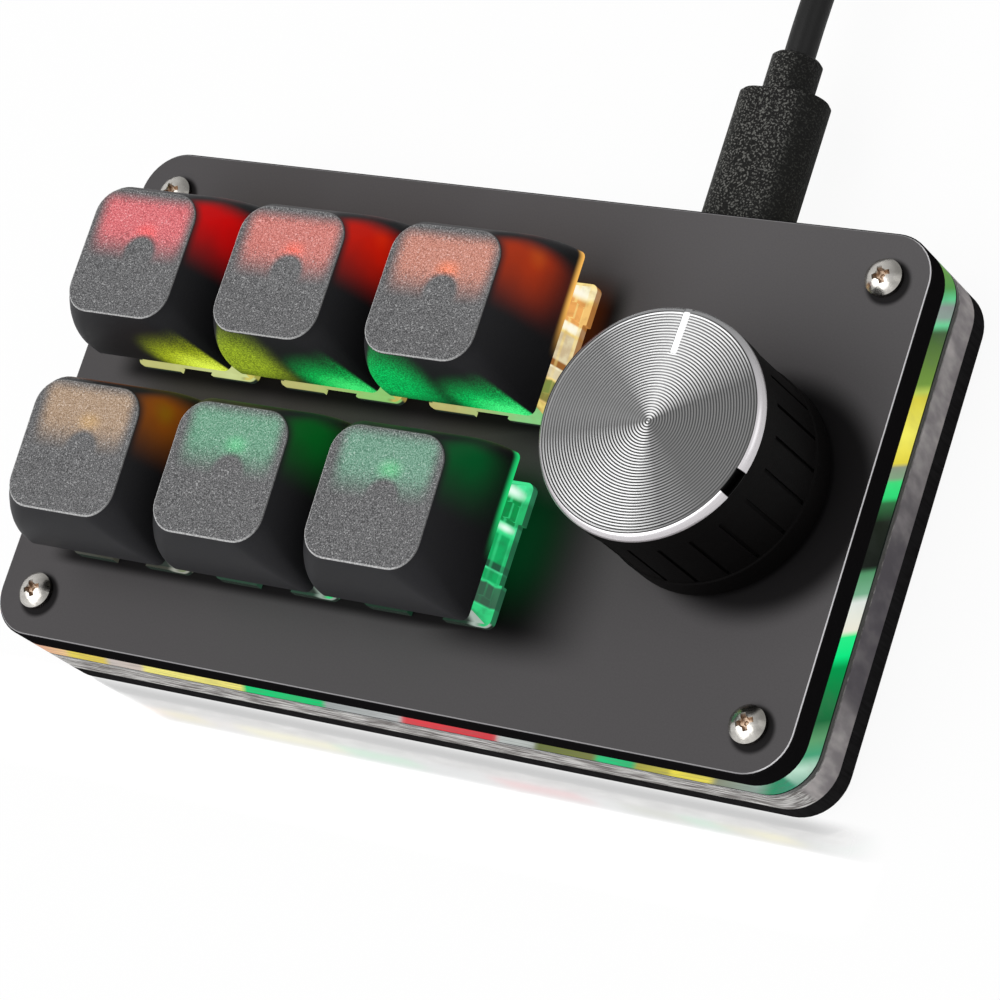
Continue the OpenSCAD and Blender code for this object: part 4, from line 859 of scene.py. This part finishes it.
# ---- Knob ----
# The body is moulded in black plastic with grip panels round it. A spun aluminium disc with a
# turned face, a chamfer and a milled pointer line is set into its top; painted reflections and
# highlights lie on its face and chamfer. A notch in its rim stands NOTCH degrees clockwise of
# the right.
DISC_Z = 31.2
DISC_R = 12
FACE_R = 11.45
POINTER = math.radians(87.5)
SLOT_HALF = 0.35
SLOT_START = 7.1
SLOT_Z = 0.88
NOTCH = 23.4
NOTCH_HALF = 6.5
RING_PITCH = 0.3
FACE_RINGS = 75

body, shade = finish("knob_plastic", paint(12, 12, 12), 0.45, Specular_IOR_Level=0.03)
at = shade.place()
grain = at.noise(5.0, 3.0)
grain.mix(paint(7, 6, 6), paint(14, 13, 13)).into("Base Color")
(0.4 + 0.2 * grain).into("Roughness")
grain.bump(0.02)
dress(body, "knob_skirt")

# Painted reflections: tones of the ridges and grooves at angles in degrees round the disc,
# bright in two fans and darker between them.
RIDGE_REFLECTIONS = [
    (-180, 146), (-165, 150), (-150, 208), (-120, 255), (-102, 255), (-84, 255), (-64, 168),
    (-40, 122), (30, 134), (44, 204), (62, 255), (90, 255), (106, 255), (122, 226), (138, 160),
    (160, 142), (180, 146),
]
GROOVE_REFLECTIONS = [
    (-180, 108), (-165, 88), (-150, 44), (-120, 50), (-102, 72), (-84, 56), (-64, 52),
    (-40, 88), (30, 70), (44, 66), (62, 74), (90, 150), (106, 84), (122, 60), (138, 88),
    (160, 104), (180, 108),
]
spun, shade = finish(
    "spun_aluminium", paint(150, 150, 152), 0.3, Metallic=1, Emission_Strength=1
)
at = shade.place()
x, y, _ = at.axes()
x = x - KNOB_X
r = x.length(y)
turn = y.math("ARCTAN2", x) * (180 / math.pi)
ridge = (r * (2 * math.pi / RING_PITCH)).math("COSINE").rise(0.6, -0.6)
fine = at.node("CombineXYZ", None, {0: r * 14.0}).noise(1.0, 2.0)
greys = [[(a, (t, t, t)) for a, t in stops] for stops in (GROOVE_REFLECTIONS, RIDGE_REFLECTIONS)]
tone = ridge.mix(*[bands(turn, 180, stops) for stops in greys]).stretch(0.5, 0.5, 0.5)
across = abs(x * math.sin(POINTER) - y * math.cos(POINTER))
slot = across.rise(SLOT_HALF + 0.02, SLOT_HALF - 0.02) * y.rise(0, 1)
slot = slot * r.rise(SLOT_START - 0.05, SLOT_START + 0.05)
tone = slot.mix(tone, (1, 1, 1))
chamfer = r.rise(FACE_R, FACE_R + 0.04)
# Painted highlight: the chamfer is painted brighter towards the front right, and given a glow
# there too.
highlight_side = (0.5 * x - y).rise(-10.0, 8.0)
rim_highlight = highlight_side.mix(paint(130, 130, 131), paint(178, 176, 178))
tone = chamfer.mix(tone, rim_highlight)
# The notch is painted near black.
notch = abs(turn + NOTCH).rise(NOTCH_HALF + 0.4, NOTCH_HALF)
notch = notch * r.rise(FACE_R - 0.08, FACE_R - 0.04)
notch.mix(tone, (0.002, 0.002, 0.002)).into("Base Color")
shine = highlight_side.mix(paint(56, 56, 56), paint(116, 112, 114))
(chamfer * (1 - notch)).mix((0, 0, 0), shine).into("Emission Color")
(0.3 - 0.1 * chamfer + 0.1 * fine).into("Roughness")
(fine * (1 - chamfer)).bump(0.01)


def disc_angles(r):
    """Places round the disc: even steps, and both edges of the slot and of the notch."""
    slot = (-SLOT_HALF - 0.02, -SLOT_HALF, 0, SLOT_HALF, SLOT_HALF + 0.02)
    slot = [POINTER + math.asin(w / max(r, SLOT_START + 0.1)) for w in slot]
    notch = (-NOTCH_HALF - 0.05, -NOTCH_HALF, NOTCH_HALF, NOTCH_HALF + 0.05)
    notch = [math.radians(w - NOTCH) for w in notch]
    steps = [math.pi * k / 72 for k in range(-72, 72)]
    steps = [a for a in steps if abs(a - POINTER) > 0.06]
    return sorted(slot + notch + [a for a in steps if min(abs(a - b) for b in notch) > 0.004])


def spun_disc():
    """A turned disc: chamfered rim, fine grooves, pointer slot, rim notch and spigot."""
    bm = bmesh.new()

    def ring(r, z, slot_z=None, notch=None):
        points = []
        for a in disc_angles(r):
            at_r, at_z = r, z
            if slot_z and abs(r * math.sin(a - POINTER)) < SLOT_HALF + 0.01 and a > 0:
                at_z = slot_z
            if notch and abs(math.degrees(a) + NOTCH) < NOTCH_HALF + 0.02:
                at_r, at_z = notch
            across, along = KNOB_X + at_r * math.cos(a), at_r * math.sin(a)
            points.append((across / 1000, along / 1000, (DISC_Z + at_z) / 1000))
        return points

    # From the spigot out to the rim, and then inwards over the face.
    rings = [ring(6, 0), ring(6, -0.45), ring(9, -0.45), ring(9, 0)]
    rings += [ring(DISC_R, 0), ring(DISC_R, 0.1), ring(DISC_R, 0.4, notch=(11.9, 0.1))]
    rings.append(ring(11.85, 0.75, notch=(FACE_R - 0.05, 0.1)))
    rings.append(ring(FACE_R, 1, SLOT_Z, notch=(FACE_R - 0.05, 1)))
    for k in range(FACE_RINGS, 0, -1):
        r = k * RING_PITCH / 2
        rings.append(ring(r, 1 if k % 2 else 0.95, SLOT_Z if r > SLOT_START else None))
    grow(bm, rings)
    smooth(bm)
    return bm


disc = mesh_piece("disc", spun_disc(), spun)
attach(disc, "knob")
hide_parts("knob_disc")

# ---- Floor and light ----
# A plain white table with a faint gloss, one big soft lamp high on the left, and a weak one
# on the right.
table, shade = finish("table", (0.9, 0.9, 0.9), 0.6)
tree = table.node_tree
seen = shade.node("LightPath")
white = shade.node("Emission", None, {"Color": (1, 1, 1, 1), "Strength": 1.0})
gloss = shade.node("BsdfAnisotropic", None, {"Color": (1, 1, 1, 1), "Roughness": 0.12})
matt = Shade(tree, tree.nodes["Principled BSDF"].outputs[0])
x, y, _ = shade.place().axes()
past_x = (abs(x) - (PLATE_X - CORNER_R)).math("MAXIMUM", 0)
past_y = (abs(y) - (PLATE_Y - CORNER_R)).math("MAXIMUM", 0)
under = past_x.length(past_y).rise(CORNER_R - 0.8, CORNER_R - 1.2)
bright = seen * (0.94 - 0.94 * under)
lit = shade.node("MixShader", None, {0: bright, 1: matt, 2: white})
ahead = y.rise(-27.5, -29.0) * y.rise(-40, -30) * x.rise(55, 44)
top = shade.node("MixShader", None, {0: 0.4 * ahead, 1: lit, 2: gloss})
tree.links.new(top.socket, tree.nodes["Material Output"].inputs[0])

bm = bmesh.new()
bmesh.ops.create_circle(bm, cap_ends=True, segments=64, radius=3.0)
floor = mesh_piece("floor", bm, table)


def lamp(name, direction, distance, size, power):
    """A square lamp that faces the object from this direction and distance."""
    data = bpy.data.lights.new(name, "AREA")
    data.shape = "SQUARE"
    data.size = size
    data.energy = power
    made = bpy.data.objects.new(name, data)
    away = Vector(direction).normalized()
    made.location = away * distance
    made.rotation_euler = away.to_track_quat("Z", "Y").to_euler()
    bpy.context.scene.collection.objects.link(made)


lamp("key_lamp", (-0.3, -0.26, 0.91), 1.2, 1.4, 15.5)
lamp("fill_lamp", (0.8, 0.35, 0.7), 1.2, 0.6, 1.0)

world = bpy.data.worlds.new("studio")
bpy.context.scene.world = world
world.use_nodes = True
tree = world.node_tree
ray = Shade(tree).node("LightPath")
glossy = Shade(tree, ray.socket.node.outputs["Is Glossy Ray"])
through = Shade(tree, ray.socket.node.outputs["Is Transmission Ray"])
plain = ray.math("MAXIMUM", glossy).math("MAXIMUM", through)
strength = 0.25 + 0.75 * plain
tree.links.new(strength.socket, tree.nodes["Background"].inputs["Strength"])
tree.nodes["Background"].inputs["Color"].default_value = (1, 1, 1, 1)
